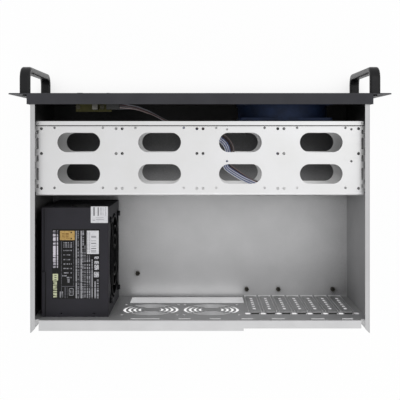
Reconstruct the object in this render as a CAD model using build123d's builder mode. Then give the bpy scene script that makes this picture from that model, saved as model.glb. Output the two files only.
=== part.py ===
from build123d import *
import math
import os

os.makedirs("parts", exist_ok=True)

# A short 4U rackmount server case with its top cover off, in millimetres.
# Front faces -Y, up is +Z, and the origin is the middle of the footprint on the floor.
# Depths are counted rearwards from the front face of the front panel.

# Rack front
rack_width = 482.6
panel_height = 177.0
panel_sheet = 1.5
panel_edge_round = 1.0
box_width = 436.0
box_depth = 14.0
box_foot_depth = 8.0
ear_corner = 3.0
ear_slot_spacing = 465.1
ear_slot_rise = 101.6
ear_slot_length = 10.3
ear_slot_height = 6.8

# Handles
handle_spacing = 444.0
handle_width = 13.5
handle_thickness = 8.0
handle_round = 3.0
handle_reach = 34.5
handle_rise = 154.0
handle_bend = 12.0
handle_bore = 4.0
handle_bore_depth = 12.0

# Case body
case_width = 428.0
case_depth = 302.0
case_height = 175.0
sheet = 1.0
fold_radius = 1.5
lid_flange = 6.0
corner_relief = 1.5
tray_setback = 8.5
rear_recess = 15.0
cover_screw_bore = 3.4
cover_screw_drop = 8.0
cover_screw_pitch = 100.0

# Front bulkhead and its spacers
bulkhead_gap = 0.3
bulkhead_lip = 4.5
bulkhead_flange = 25.0
spacer_diameter = 8.0
spacer_spacing = 390.0
spacer_inset = 12.0

# Fans, both 120 mm
fan_size = 120.0
fan_thickness = 25.0
fan_flange = 4.0
fan_corner = 5.0
fan_bore = 116.0
fan_wall = 1.6
fan_screw_pitch = 105.0
fan_screw_bore = 4.3
fan_hub = 39.0
fan_cup_wall = 2.0
fan_cup_setback = 2.0
fan_cup_depth = 18.0
fan_stator = 24.0
fan_shaft = 3.0
fan_running_fit = 0.05
fan_tip_gap = 1.5
fan_blades = 7
fan_blade_thickness = 1.6
fan_strut = 4.0
fan_struts = 4
blade_bury = 0.5
blade_root_reach = 7.0
blade_root_camber = 1.6
blade_tip_reach = 21.0
blade_tip_camber = 3.2
blade_end_gap = 1.0
front_fan_x = -111.0
front_fan_rise = 2.5
front_vent = 112.0
vent_web = 3.4
vent_pitch = 8.4
vent_rows = 3

# Front connector board
io_x = 138.25
io_board_width = 46.5
io_board_depth = 20.0
io_board_setback = 2.5
io_board_thickness = 1.6
io_board_drop = 42.6
io_boss_height = 3.4
io_boss_diameter = 6.0
io_bracket_flange = 12.0
io_window_side = 16.0
io_window_height = 22.0
io_screw_bore = 3.2
io_screw_head = 5.5
io_screw_head_height = 1.6
io_boss_gap = 1.5
usb_x = 135.3
usb_width = 7.0
usb_height = 14.0
usb_depth = 19.0
usb_shell = 0.6
usb_pocket = 11.4
usb_tongue_width = 1.8
usb_tongue_height = 11.2
usb_tongue_offset = 1.2
power_x = 155.5
power_diameter = 8.0
reset_x = 119.0
reset_diameter = 4.0
button_proud = 1.8
button_travel = 1.2
button_flange = 1.0
button_flange_thickness = 1.0
button_fit = 0.25
plunger_diameter = 3.0
switch_size = 7.0
switch_depth = 5.0
switch_gap = 3.0
button_rise = 7.6
led_diameter = 3.0
led_first_x = 148.0
led_pitch = -4.6
led_count = 2
led_proud = 0.8
led_block = 4.0
header_length = 6.0
header_width = 8.0
header_height = 8.6
header_y = 15.5
header_plug_length = 11.0

# Drive shelves
shelf_front = 35.2
shelf_depth = 95.1
shelf_upper_drop = 15.0
shelf_lower_z = 80.0
shelf_leg = 22.0
shelf_notch = 5.0
shelf_band_inset = 4.0
shelf_hem = 5.2
shelf_hem_gap = 0.3
shelf_rear_flange = 12.0
shelf_fold = 3.0
bay_pitch = 103.1
bay_row_pitch = 40.2
bay_row_middle = 82.3
bay_columns = 4
bay_rows = 2
bay_slot_length = 54.5
bay_slot_width = 25.0
drive_hole_spacing = 95.25
drive_hole_rows = (0.0, 31.75, 76.2)
drive_hole_start = 44.7
drive_hole_bore = 3.8
small_drive_spacing = 61.72
small_drive_rows = (0.0, 76.6)
small_drive_start = 43.6
small_drive_bore = 3.2
edge_cut_inset = 4.8
edge_cut_width = 4.6
edge_cuts = ((48.7, 4.6), (63.6, 14.6), (82.6, 8.0), (102.5, 15.3), (118.1, 4.6))
hem_groove_width = 1.0
hem_groove_depth = 0.5
hem_dot_bore = 2.0
hem_dot_inset = 6.5
stay_hole_bore = 3.0
stay_hole_xs = (-34.5, -193.1)
stay_hole_rows = (45.5, 86.2)
shelf_screw_bore = 4.0
shelf_screw_drop = 12.0
shelf_screw_pitch = 60.0

# Rear panel
rear_flange_long = 12.5
rear_flange_short = 9.4
rear_flange_step_x = -55.0
rear_flange_inset = 9.8
rear_side_drop = 5.0
rear_foot_flange = 11.0
rear_side_flange = 11.0
aperture_width = 158.75
aperture_height = 44.45
aperture_middle_x = 18.1
aperture_bottom = 11.0
rear_vent_x = (65.5, -15.1)
rear_vent_z = 104.0
rear_vent_diameter = 74.0
rear_vent_slot = 3.6
rear_vent_step = 6.6
rear_vent_spoke = 5.0
rear_vent_rings = 4
rear_vent_screw_pitch = 71.5
rear_vent_screw_bore = 4.4
top_vent_drop = 7.0
top_vent_height = 5.0
top_vents = (
    (69.5, 36.4),
    (19.6, 15.2),
    (-19.3, 14.2),
    (-59.6, 14.7),
    (-99.2, 16.5),
    (-149.3, 16.8),
    (-187.1, 13.7),
)
top_vent_hole = 2.6
top_vent_hole_gap = 2.0

# Expansion slots
slot_count = 7
slot_pitch = 20.32
slot_first_x = -72.7
slot_tab_z = 124.0
slot_bottom_z = 4.0
slot_cover_width = 14.5
slot_cover_sheet = 0.8
slot_tip_width = 10.0
slot_tip_height = 7.0
slot_tab_width = 11.4
slot_tab_length = 10.0
slot_neck_height = 4.0
slot_opening_width = 11.0
slot_opening_bottom = 14.0
slot_opening_top = 112.0
slot_window_width = 12.0
slot_window_height = 12.0
slot_gap_width = 6.4
slot_hole_width = 4.0
slot_hole_height = 9.0
slot_hole_pitch = 15.0
slot_hole_rows = 6
slot_hole_middle = 63.0
retainer_sheet = 1.2
retainer_spine = 3.5
slot_screw_setback = 5.0
slot_screw_bore = 3.4

# Power supply
psu_x = 117.5
psu_width = 86.0
psu_length = 140.0
psu_height = 150.0
psu_z = 4.0
psu_sheet = 1.0
psu_fold = 1.3
psu_seam = 6.1
psu_rear_lip = 4.1
psu_lip = 4.0
psu_seat_gap = 0.1
psu_front_inset = 1.0
psu_opening_margin = 4.0
psu_opening_step = 12.0
psu_opening_tuck = 18.0
psu_notch_xs = (18.1, 60.4)
psu_notch_bore = 2.6
psu_screw_bore = 3.9
psu_screw_points = ((6.0, 6.0), (80.0, 6.0), (16.0, 144.0), (80.0, 144.0))
psu_rest_width = 8.0
psu_rest_side = 8.6
psu_rest_inset = 21.0
psu_fan_setback = 70.0
psu_fan_mouth = 114.0
guard_wire = 1.6
guard_rings = (14.0, 27.0, 40.0, 53.0)
guard_eye = 4.6
inlet_x = 160.0
inlet_z = 132.0
inlet_width = 27.0
inlet_height = 20.0
inlet_flange = 2.0
inlet_rim = 2.5
inlet_depth = 17.0
inlet_recess = 14.0
inlet_wall = 1.8
pin_width = 4.0
pin_thickness = 2.0
pin_pitch = 7.0
rocker_z = 107.0
rocker_width = 20.0
rocker_height = 13.0
rocker_rim = 2.0
rocker_wall = 1.2
rocker_depth = 12.0
rocker_tilt = 10.0
rocker_gap = 0.8
rocker_pin = 2.0
psu_vent_slot = 3.0
psu_vent_pitch = 6.0
psu_vent_length = 56.0
psu_vent_count = 12
psu_vent_z = 52.0
bush_x = 158.0
bush_z = 110.0
bush_diameter = 26.0
bush_neck = 20.0
bush_bore = 14.0
bush_flange = 1.5
bush_depth = 3.0

# Board standoffs, laid out for a full-size board
standoff_height = 6.5
standoff_width = 5.5
standoff_bore = 3.2
standoff_columns = (89.9, -67.6, -192.0)
standoff_rows = (275.3, 120.4, 48.0)
standoff_corner_setback = 22.8
standoff_extra_x = -113.3

# Screws
screw_head = 7.0
screw_head_height = 2.2
screw_shank = 3.2
screw_length = 6.0
screw_fit = 0.1

# Front lead
lead_diameter = 7.6
lead_rest_gap = 0.4
lead_plug_width = 13.0
lead_plug_length = 22.0
lead_plug_x = -105.0
lead_plug_y = 46.0

# Values that follow from the sizes above
half_case = case_width / 2
wall_inner = half_case - sheet
rear_out = case_depth - rear_recess
rear_in = rear_out - sheet
panel_face_y = (handle_reach - case_depth) / 2
handle_low_z = (panel_height - handle_rise) / 2
handle_high_z = handle_low_z + handle_rise
bulkhead_back = tray_setback + sheet
bulkhead_top = case_height - sheet - bulkhead_gap
front_fan_z = case_height / 2 + front_fan_rise
io_board_z = panel_height - io_board_drop
button_z = io_board_z + button_rise
shelf_upper_z = case_height - shelf_upper_drop
rear_flange_half = wall_inner - rear_flange_inset
psu_rear = rear_in
psu_front = psu_rear - psu_length
psu_far_x = psu_x + psu_width
psu_top = psu_z + psu_height
slot_xs = [slot_first_x - slot_pitch * index for index in range(slot_count)]


def depth(distance):
    """Y of a point at this distance behind the front face."""
    return panel_face_y + distance


def upright(distance):
    """Plane across the case at a depth, with X and Z as its axes. It faces the front."""
    return Plane.XZ.offset(-depth(distance))


def lengthways(x):
    """Plane along the case at X, with Y and Z as its axes. It faces +X."""
    return Plane.YZ.offset(x)


def level(z):
    """Plane at a height, with X and Y as its axes. It faces up."""
    return Plane.XY.offset(z)


def finish(builder, name):
    """Name a finished piece and write it out."""
    builder.part.label = name
    export_step(builder.part, f"parts/{name}.step")


def screw_group(seats, head, head_height, shank, length):
    """Like screws, one to a seat plane: each head stands on its plane and each shank goes behind it."""
    with BuildPart() as screws:
        for seat in seats:
            with BuildSketch(seat):
                Circle(head / 2)
            extrude(amount=head_height)
            with BuildSketch(seat):
                Circle(shank / 2)
            extrude(amount=-length)
    return screws


# Chassis tray: floor, side walls and inward top flanges folded from one sheet
shelf_screw_ys = [bay_row_middle - shelf_screw_pitch / 2, bay_row_middle + shelf_screw_pitch / 2]
shelf_screw_zs = [shelf_lower_z - shelf_screw_drop, shelf_upper_z - shelf_screw_drop]
cover_screw_ys = [case_depth / 2 + cover_screw_pitch * step for step in (-1, 0, 1)]
with BuildPart() as chassis_tray:
    with BuildSketch(upright(case_depth)):
        with BuildLine():
            FilletPolyline(
                (half_case - lid_flange, case_height),
                (half_case, case_height),
                (half_case, 0),
                (-half_case, 0),
                (-half_case, case_height),
                (lid_flange - half_case, case_height),
                radius=fold_radius,
            )
            offset(amount=sheet, side=Side.RIGHT)
        make_face()
    extrude(amount=case_depth - tray_setback)
    # Top flanges are mitred at their rear ends
    with BuildSketch(level(case_height)):
        for side in (-1, 1):
            with BuildLine():
                Polyline(
                    (side * wall_inner, depth(case_depth)),
                    (side * (half_case - lid_flange), depth(case_depth)),
                    (side * (half_case - lid_flange), depth(case_depth) - lid_flange + sheet),
                    close=True,
                )
            make_face()
    extrude(amount=-2 * sheet, mode=Mode.SUBTRACT)
    # Screw holes for the top cover and the drive shelves go through both walls
    with BuildSketch(lengthways(-half_case)):
        with Locations(*[(depth(y), case_height - cover_screw_drop) for y in cover_screw_ys]):
            Circle(cover_screw_bore / 2)
        with Locations(*[(depth(y), z) for y in shelf_screw_ys for z in shelf_screw_zs]):
            Circle(shelf_screw_bore / 2)
    extrude(amount=case_width, mode=Mode.SUBTRACT)
    # Two pressed ribs carry the power supply
    with BuildSketch(level(sheet)):
        for rest_y in (psu_front + psu_rest_inset, psu_rear - psu_rest_inset):
            with Locations((psu_x + psu_width / 2, depth(rest_y))):
                Rectangle(psu_width - 2 * psu_rest_side, psu_rest_width)
    extrude(amount=psu_z - sheet)
finish(chassis_tray, "chassis_tray")

# Front bulkhead: inner front wall with the fan opening and the connector window.
# A foot flange and two side flanges hold it to the tray.
io_window_left = io_x + io_board_width / 2 + corner_relief
io_window_right = io_x - io_board_width / 2 - io_window_side
with BuildPart() as front_bulkhead:
    with BuildSketch(lengthways(-wall_inner)):
        with BuildLine():
            FilletPolyline(
                (depth(tray_setback) + bulkhead_lip + sheet, bulkhead_top),
                (depth(tray_setback), bulkhead_top),
                (depth(tray_setback), sheet),
                (depth(tray_setback + bulkhead_flange), sheet),
                radius=fold_radius,
            )
            offset(amount=sheet, side=Side.LEFT)
        make_face()
    extrude(amount=2 * wall_inner)
    with BuildSketch(level(sheet + corner_relief)):
        for side in (-1, 1):
            with Locations((side * (wall_inner - sheet / 2), depth(tray_setback + bulkhead_flange / 2))):
                Rectangle(sheet, bulkhead_flange)
    extrude(amount=bulkhead_top - sheet - 2 * corner_relief)
    with BuildSketch(upright(tray_setback)):
        with Locations((front_fan_x, front_fan_z)):
            Circle(fan_bore / 2)
            with GridLocations(fan_screw_pitch, fan_screw_pitch, 2, 2):
                Circle(fan_screw_bore / 2)
        io_window_z = io_board_z + io_window_height / 2 - io_boss_height
        with Locations(((io_window_left + io_window_right) / 2, io_window_z)):
            Rectangle(io_window_left - io_window_right, io_window_height)
    extrude(amount=-(sheet + bulkhead_lip), mode=Mode.SUBTRACT)
    # Corners are relieved round the tray's folds
    with BuildSketch(upright(0)):
        for side in (-1, 1):
            for z, up in ((sheet, 1), (bulkhead_top, -1)):
                with BuildLine():
                    Polyline(
                        (side * wall_inner, z),
                        (side * (wall_inner - corner_relief), z),
                        (side * wall_inner, z + up * corner_relief),
                        close=True,
                    )
                make_face()
    extrude(amount=-case_depth, mode=Mode.SUBTRACT)
finish(front_bulkhead, "front_bulkhead")

# Front panel: face plate with rack ears, and the returns of the box behind it
button_hole_clearance = 2 * button_fit
with BuildPart() as front_panel:
    with BuildSketch(upright(0)):
        with Locations((0, panel_height / 2)):
            RectangleRounded(rack_width, panel_height, ear_corner)
    extrude(amount=-panel_sheet)
    with BuildSketch(upright(panel_sheet)):
        with BuildLine():
            Polyline(
                (-box_width / 2, 0),
                (-box_width / 2, panel_height),
                (box_width / 2, panel_height),
                (box_width / 2, 0),
            )
            offset(amount=panel_sheet, side=Side.RIGHT)
        make_face()
    extrude(amount=-(box_depth - panel_sheet))
    with BuildSketch(upright(panel_sheet)):
        with Locations((0, panel_sheet / 2)):
            Rectangle(box_width, panel_sheet)
    extrude(amount=-(box_foot_depth - panel_sheet))
    front_edges = front_panel.edges().filter_by(Axis.X).group_by(Axis.Y)[0]
    fillet(front_edges, radius=panel_edge_round)
    # Rack slots, handle screw holes and everything that shows through the face
    with BuildSketch(upright(0)):
        with Locations((0, panel_height / 2)):
            with GridLocations(ear_slot_spacing, ear_slot_rise, 2, 2):
                SlotOverall(ear_slot_length, ear_slot_height)
            with GridLocations(handle_spacing, handle_rise, 2, 2):
                Circle(handle_bore / 2 + screw_fit)
        with Locations((usb_x, io_board_z + io_board_thickness + usb_height / 2)):
            Rectangle(usb_width + button_hole_clearance, usb_height + button_hole_clearance)
        with Locations((power_x, button_z)):
            Circle(power_diameter / 2 + button_fit)
        with Locations((reset_x, button_z)):
            Circle(reset_diameter / 2 + button_fit)
        with Locations(*[(led_first_x + led_pitch * index, button_z) for index in range(led_count)]):
            Circle(led_diameter / 2 + screw_fit)
    extrude(amount=-panel_sheet, mode=Mode.SUBTRACT)
    with BuildSketch(upright(0)):
        with Locations((front_fan_x, front_fan_z)):
            Circle(front_vent / 2)
            vent_webs = math.floor(front_vent / vent_pitch)
            with GridLocations(vent_pitch, front_vent, vent_webs, 1):
                Rectangle(vent_web, front_vent, mode=Mode.SUBTRACT)
            with GridLocations(front_vent, front_vent / vent_rows, 1, vent_rows - 1):
                Rectangle(front_vent, vent_web, mode=Mode.SUBTRACT)
    extrude(amount=-panel_sheet, mode=Mode.SUBTRACT)
finish(front_panel, "front_panel")

# Spacers between the face plate and the bulkhead
with BuildPart() as panel_spacers:
    with BuildSketch(upright(panel_sheet)):
        with Locations((0, panel_height / 2)):
            with GridLocations(spacer_spacing / 2, panel_height - 2 * spacer_inset, 3, 2):
                Circle(spacer_diameter / 2)
    extrude(amount=-(tray_setback - panel_sheet))
finish(panel_spacers, "panel_spacers")

# Handles: a flat bar bent to a U and screwed on from behind the ears
for side, name in ((-1, "handle_left"), (1, "handle_right")):
    handle_x = side * handle_spacing / 2
    grip_y = depth(handle_thickness / 2 - handle_reach)
    with BuildPart() as handle:
        with BuildLine(lengthways(handle_x)):
            FilletPolyline(
                (depth(0), handle_high_z),
                (grip_y, handle_high_z),
                (grip_y, handle_low_z),
                (depth(0), handle_low_z),
                radius=handle_bend,
            )
        with BuildSketch(upright(0)):
            with Locations((handle_x, handle_high_z)):
                RectangleRounded(handle_width, handle_thickness, handle_round)
        sweep()
        with BuildSketch(upright(0)):
            with Locations((handle_x, handle_low_z), (handle_x, handle_high_z)):
                Circle(handle_bore / 2)
        extrude(amount=handle_bore_depth, mode=Mode.SUBTRACT)
    finish(handle, name)

handle_seats = []
for handle_x in (-handle_spacing / 2, handle_spacing / 2):
    for handle_z in (handle_low_z, handle_high_z):
        handle_seats.append(Plane((handle_x, depth(panel_sheet), handle_z), x_dir=(1, 0, 0), z_dir=(0, 1, 0)))
handle_screws = screw_group(
    handle_seats, screw_head, screw_head_height, handle_bore - screw_fit, handle_bore_depth
)
finish(handle_screws, "handle_screws")


def fan_frame(mouth):
    """Square fan frame behind its mouth plane: two flanges, a round wall, struts, hub and stator."""
    ring_length = fan_thickness - 2 * fan_flange
    hub_start = fan_thickness - fan_flange + fan_cup_wall / 2
    with BuildPart() as frame:
        for start in (0, fan_thickness - fan_flange):
            with BuildSketch(mouth.offset(start)):
                RectangleRounded(fan_size, fan_size, fan_corner)
                Circle(fan_bore / 2, mode=Mode.SUBTRACT)
                with GridLocations(fan_screw_pitch, fan_screw_pitch, 2, 2):
                    Circle(fan_screw_bore / 2, mode=Mode.SUBTRACT)
            extrude(amount=fan_flange)
        with BuildSketch(mouth.offset(fan_flange)):
            Circle(fan_bore / 2 + fan_wall)
            Circle(fan_bore / 2, mode=Mode.SUBTRACT)
        extrude(amount=ring_length)
        with BuildSketch(mouth.offset(hub_start)):
            Circle(fan_hub / 2)
            with PolarLocations(fan_bore / 4 + fan_hub / 8, fan_struts, start_angle=45):
                Rectangle(fan_bore / 2 - fan_hub / 4, fan_strut)
        extrude(amount=fan_thickness - hub_start)
        with BuildSketch(mouth.offset(fan_cup_setback + 2 * fan_cup_wall)):
            Circle(fan_stator / 2)
        extrude(amount=hub_start - fan_cup_setback - 2 * fan_cup_wall)
        with BuildSketch(mouth):
            Circle(fan_shaft / 2 + fan_running_fit)
        extrude(amount=fan_thickness, mode=Mode.SUBTRACT)
    return frame


def fan_blade(mouth):
    """One fan blade, twisted from its root at the cup to its tip by the wall."""
    root = fan_hub / 2 - fan_cup_wall + blade_bury
    tip = fan_bore / 2 - fan_tip_gap
    middle = fan_cup_setback + fan_cup_depth / 2
    half_depth = fan_cup_depth / 2 - blade_end_gap
    half = fan_blade_thickness / 2
    with BuildPart() as blade:
        for radius, reach, camber in (
            (root, blade_root_reach, blade_root_camber),
            (tip, blade_tip_reach, blade_tip_camber),
        ):
            section = Plane(
                mouth.from_local_coords((0, radius, middle)), x_dir=mouth.x_dir, z_dir=mouth.y_dir
            )
            with BuildSketch(section):
                with BuildLine():
                    front = ThreePointArc((-reach, half_depth), (-camber, -camber), (reach, -half_depth))
                    back = ThreePointArc(
                        (-reach + half, half_depth + half / 2),
                        (half - camber, half * 2 - camber),
                        (reach, -half_depth + half * 2),
                    )
                    Line(front @ 0, back @ 0)
                    Line(front @ 1, back @ 1)
                make_face()
        loft(ruled=True)
        with BuildSketch(mouth):
            Circle(tip)
        extrude(amount=fan_thickness, mode=Mode.INTERSECT)
    return blade.part


def fan_rotor(mouth):
    """Fan rotor: cup, shaft and blades, all turning about the normal of the mouth plane."""
    blade = fan_blade(mouth)
    turn_axis = Axis(mouth.origin, mouth.z_dir)
    with BuildPart() as rotor:
        with BuildSketch(mouth.offset(fan_cup_setback)):
            Circle(fan_hub / 2)
        extrude(amount=fan_cup_depth)
        with BuildSketch(mouth.offset(fan_cup_setback + fan_cup_wall)):
            Circle(fan_hub / 2 - fan_cup_wall)
        extrude(amount=fan_cup_depth - fan_cup_wall, mode=Mode.SUBTRACT)
        with BuildSketch(mouth.offset(fan_cup_setback + fan_cup_wall)):
            Circle(fan_shaft / 2)
        extrude(amount=fan_thickness - fan_cup_setback - fan_cup_wall - blade_end_gap)
        for index in range(fan_blades):
            add(blade.rotate(turn_axis, 360 / fan_blades * index))
    return rotor


# Front fan, behind the bulkhead
front_fan_mouth = Plane((front_fan_x, depth(bulkhead_back), front_fan_z), x_dir=(1, 0, 0), z_dir=(0, 1, 0))
front_fan_frame = fan_frame(front_fan_mouth)
finish(front_fan_frame, "front_fan_frame")
front_fan_rotor = fan_rotor(front_fan_mouth)
finish(front_fan_rotor, "front_fan_rotor")
fan_half_pitch = fan_screw_pitch / 2
front_fan_seats = []
for screw_x in (front_fan_x - fan_half_pitch, front_fan_x + fan_half_pitch):
    for screw_z in (front_fan_z - fan_half_pitch, front_fan_z + fan_half_pitch):
        front_fan_seats.append(Plane((screw_x, depth(tray_setback), screw_z), x_dir=(1, 0, 0), z_dir=(0, -1, 0)))
front_fan_screws = screw_group(
    front_fan_seats, screw_head, screw_head_height, fan_screw_bore - screw_fit, sheet + fan_flange
)
finish(front_fan_screws, "front_fan_screws")

# Connector board bracket behind the bulkhead: a shelf with two bosses
io_shelf_top = io_board_z - io_boss_height
io_back = io_board_setback + io_board_depth
io_boss_y = (bulkhead_back + sheet + io_back) / 2
io_boss_xs = (
    usb_x - usb_width / 2 - io_boss_diameter / 2 - io_boss_gap,
    io_x + io_board_width / 2 - io_boss_diameter / 2,
)
with BuildPart() as io_bracket:
    with BuildSketch(lengthways(io_x - io_board_width / 2)):
        with BuildLine():
            FilletPolyline(
                (depth(bulkhead_back), io_shelf_top - io_bracket_flange),
                (depth(bulkhead_back), io_shelf_top),
                (depth(io_back) - sheet, io_shelf_top),
                radius=fold_radius,
            )
            offset(amount=sheet, side=Side.RIGHT)
        make_face()
    extrude(amount=io_board_width)
    with BuildSketch(level(io_shelf_top)):
        with Locations(*[(x, depth(io_boss_y)) for x in io_boss_xs]):
            Circle(io_boss_diameter / 2)
    extrude(amount=io_boss_height)
    with BuildSketch(level(io_board_z)):
        with Locations(*[(x, depth(io_boss_y)) for x in io_boss_xs]):
            Circle(io_screw_bore / 2)
    extrude(amount=-(io_boss_height + sheet), mode=Mode.SUBTRACT)
finish(io_bracket, "io_bracket")

with BuildPart() as io_board:
    with BuildSketch(level(io_board_z)):
        with Locations((io_x, depth(io_board_setback + io_board_depth / 2))):
            Rectangle(io_board_width, io_board_depth)
        with Locations(*[(x, depth(io_boss_y)) for x in io_boss_xs]):
            Circle(io_screw_bore / 2, mode=Mode.SUBTRACT)
    extrude(amount=io_board_thickness)
finish(io_board, "io_board")
io_board_top = io_board_z + io_board_thickness

io_screw_seats = [Plane((x, depth(io_boss_y), io_board_top)) for x in io_boss_xs]
io_board_screws = screw_group(
    io_screw_seats, io_screw_head, io_screw_head_height, io_screw_bore - screw_fit, screw_length
)
finish(io_board_screws, "io_board_screws")

# Upright connector: a thin metal shell round a tongue, open to the front
with BuildPart() as usb_socket:
    usb_middle = (usb_x, io_board_top + usb_height / 2)
    with BuildSketch(upright(panel_sheet / 2)):
        with Locations(usb_middle):
            Rectangle(usb_width, usb_height)
    extrude(amount=-usb_depth)
    with BuildSketch(upright(panel_sheet / 2)):
        with Locations(usb_middle):
            Rectangle(usb_width - 2 * usb_shell, usb_height - 2 * usb_shell)
        with Locations((usb_x + usb_tongue_offset, io_board_top + usb_height / 2)):
            Rectangle(usb_tongue_width, usb_tongue_height, mode=Mode.SUBTRACT)
    extrude(amount=-usb_pocket, mode=Mode.SUBTRACT)
finish(usb_socket, "usb_socket")

# Push buttons: a cap in the panel's hole, a flange behind it and a plunger in its switch
switch_front = panel_sheet + button_flange_thickness + switch_gap
for x, diameter, name in ((power_x, power_diameter, "power"), (reset_x, reset_diameter, "reset")):
    with BuildPart() as button:
        with BuildSketch(upright(-button_proud)):
            with Locations((x, button_z)):
                Circle(diameter / 2)
        extrude(amount=-(button_proud + panel_sheet))
        with BuildSketch(upright(panel_sheet)):
            with Locations((x, button_z)):
                Circle(diameter / 2 + button_flange)
        extrude(amount=-button_flange_thickness)
        with BuildSketch(upright(panel_sheet + button_flange_thickness)):
            with Locations((x, button_z)):
                Circle(plunger_diameter / 2)
        extrude(amount=-(switch_gap + button_travel))
    finish(button, f"{name}_button")
    with BuildPart() as switch:
        switch_height = button_z + switch_size / 2 - io_board_top
        with BuildSketch(upright(switch_front)):
            with Locations((x, io_board_top + switch_height / 2)):
                Rectangle(switch_size, switch_height)
            with Locations((x, button_z)):
                Circle(plunger_diameter / 2 + button_fit / 2, mode=Mode.SUBTRACT)
        extrude(amount=-switch_depth)
    finish(switch, f"{name}_switch")

# Status lights: domed lenses through the panel, each in a block on the board
with BuildPart() as status_leds:
    for index in range(led_count):
        led_x = led_first_x + led_pitch * index
        with BuildSketch(upright(io_board_setback)):
            with Locations((led_x, (io_board_top + button_z + led_block / 2) / 2)):
                Rectangle(led_block, button_z + led_block / 2 - io_board_top)
        extrude(amount=-led_block)
        with BuildSketch(upright(-led_proud)):
            with Locations((led_x, button_z)):
                Circle(led_diameter / 2)
        extrude(amount=-(led_proud + io_board_setback))
finish(status_leds, "status_leds")

# Lead header at the end of the board, and the plug on it
header_x = io_x - io_board_width / 2
with BuildPart() as lead_header:
    with BuildSketch(level(io_board_top)):
        with Locations((header_x + header_length / 2, depth(header_y))):
            Rectangle(header_length, header_width)
    extrude(amount=header_height)
finish(lead_header, "lead_header")

plug_x = header_x - header_plug_length
with BuildPart() as lead_header_plug:
    with BuildSketch(level(io_board_top)):
        with Locations((header_x - header_plug_length / 2, depth(header_y))):
            Rectangle(header_plug_length, header_width)
    extrude(amount=header_height)
    fillet(lead_header_plug.edges().filter_by(Axis.Z).group_by(Axis.X)[0], radius=sheet)
finish(lead_header_plug, "lead_header_plug")


def drive_shelf(top, small_drives):
    """Folded drive shelf with its top face at this height: legs at the walls, a hem in front, a fold behind."""
    shelf_rear = shelf_front + shelf_depth
    band_half = wall_inner - shelf_band_inset
    drive_xs = [bay_pitch * (column - (bay_columns - 1) / 2) for column in range(bay_columns)]
    with BuildPart() as shelf:
        with BuildSketch(upright(shelf_rear - shelf_notch)):
            with BuildLine():
                FilletPolyline(
                    (-wall_inner, top - shelf_leg),
                    (-wall_inner, top),
                    (wall_inner, top),
                    (wall_inner, top - shelf_leg),
                    radius=shelf_fold,
                )
                offset(amount=sheet, side=Side.RIGHT)
            make_face()
        extrude(amount=shelf_depth - 2 * shelf_notch)
        # Front hem and rear fold run between the notched corners
        with BuildSketch(lengthways(-band_half)):
            with BuildLine():
                FilletPolyline(
                    (depth(shelf_front), top),
                    (depth(shelf_rear), top),
                    (depth(shelf_rear), top - shelf_rear_flange),
                    radius=shelf_fold,
                )
                offset(amount=sheet, side=Side.RIGHT)
            make_face()
            with BuildLine():
                Polyline(
                    (depth(shelf_front), top - sheet),
                    (depth(shelf_front), top + shelf_hem_gap + sheet),
                    (depth(shelf_front) + shelf_hem, top + shelf_hem_gap + sheet),
                    (depth(shelf_front) + shelf_hem, top + shelf_hem_gap),
                    (depth(shelf_front) + sheet, top + shelf_hem_gap),
                    (depth(shelf_front) + sheet, top - sheet),
                    close=True,
                )
            make_face()
        extrude(amount=2 * band_half)
        # Large stadium holes, drive screw holes and the slots along the folds
        with BuildSketch(level(top)):
            with Locations((0, depth(bay_row_middle))):
                with GridLocations(bay_pitch, bay_row_pitch, bay_columns, bay_rows):
                    SlotOverall(bay_slot_length, bay_slot_width)
            for x in drive_xs:
                for side in (-1, 1):
                    with Locations(*[
                        (x + side * drive_hole_spacing / 2, depth(drive_hole_start + y)) for y in drive_hole_rows
                    ]):
                        Circle(drive_hole_bore / 2)
                    if small_drives:
                        with Locations(*[
                            (x + side * small_drive_spacing / 2, depth(small_drive_start + y))
                            for y in small_drive_rows
                        ]):
                            Circle(small_drive_bore / 2)
            if small_drives:
                with Locations(*[(x, depth(y)) for x in stay_hole_xs for y in stay_hole_rows]):
                    Circle(stay_hole_bore / 2)
            for side in (-1, 1):
                for y, length in edge_cuts:
                    with Locations((side * (wall_inner - edge_cut_inset), depth(y))):
                        Rectangle(edge_cut_width, length)
        extrude(amount=-sheet, mode=Mode.SUBTRACT)
        # A stop groove behind the hem, and a dot through each end of the hem
        with BuildSketch(level(top)):
            with Locations((0, depth(shelf_front + shelf_hem) + hem_groove_width / 2)):
                Rectangle(2 * band_half, hem_groove_width)
        extrude(amount=-hem_groove_depth, mode=Mode.SUBTRACT)
        with BuildSketch(level(top + shelf_hem_gap + sheet)):
            hem_dot_x = wall_inner - hem_dot_inset
            hem_dot_y = depth(shelf_front + shelf_hem / 2)
            with Locations((-hem_dot_x, hem_dot_y), (hem_dot_x, hem_dot_y)):
                Circle(hem_dot_bore / 2)
        extrude(amount=-sheet, mode=Mode.SUBTRACT)
        with BuildSketch(lengthways(-wall_inner)):
            with Locations(*[(depth(y), top - shelf_screw_drop) for y in shelf_screw_ys]):
                Circle(shelf_screw_bore / 2)
        extrude(amount=2 * wall_inner, mode=Mode.SUBTRACT)
    return shelf


drive_shelf_lower = drive_shelf(shelf_lower_z, small_drives=False)
finish(drive_shelf_lower, "drive_shelf_lower")
drive_shelf_upper = drive_shelf(shelf_upper_z, small_drives=True)
finish(drive_shelf_upper, "drive_shelf_upper")

shelf_seats = []
for side in (-1, 1):
    for screw_y in shelf_screw_ys:
        for screw_z in shelf_screw_zs:
            shelf_seats.append(
                Plane((side * half_case, depth(screw_y), screw_z), x_dir=(0, 1, 0), z_dir=(side, 0, 0))
            )
shelf_screws = screw_group(
    shelf_seats, screw_head, screw_head_height, shelf_screw_bore - screw_fit, screw_length
)
finish(shelf_screws, "shelf_screws")

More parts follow.
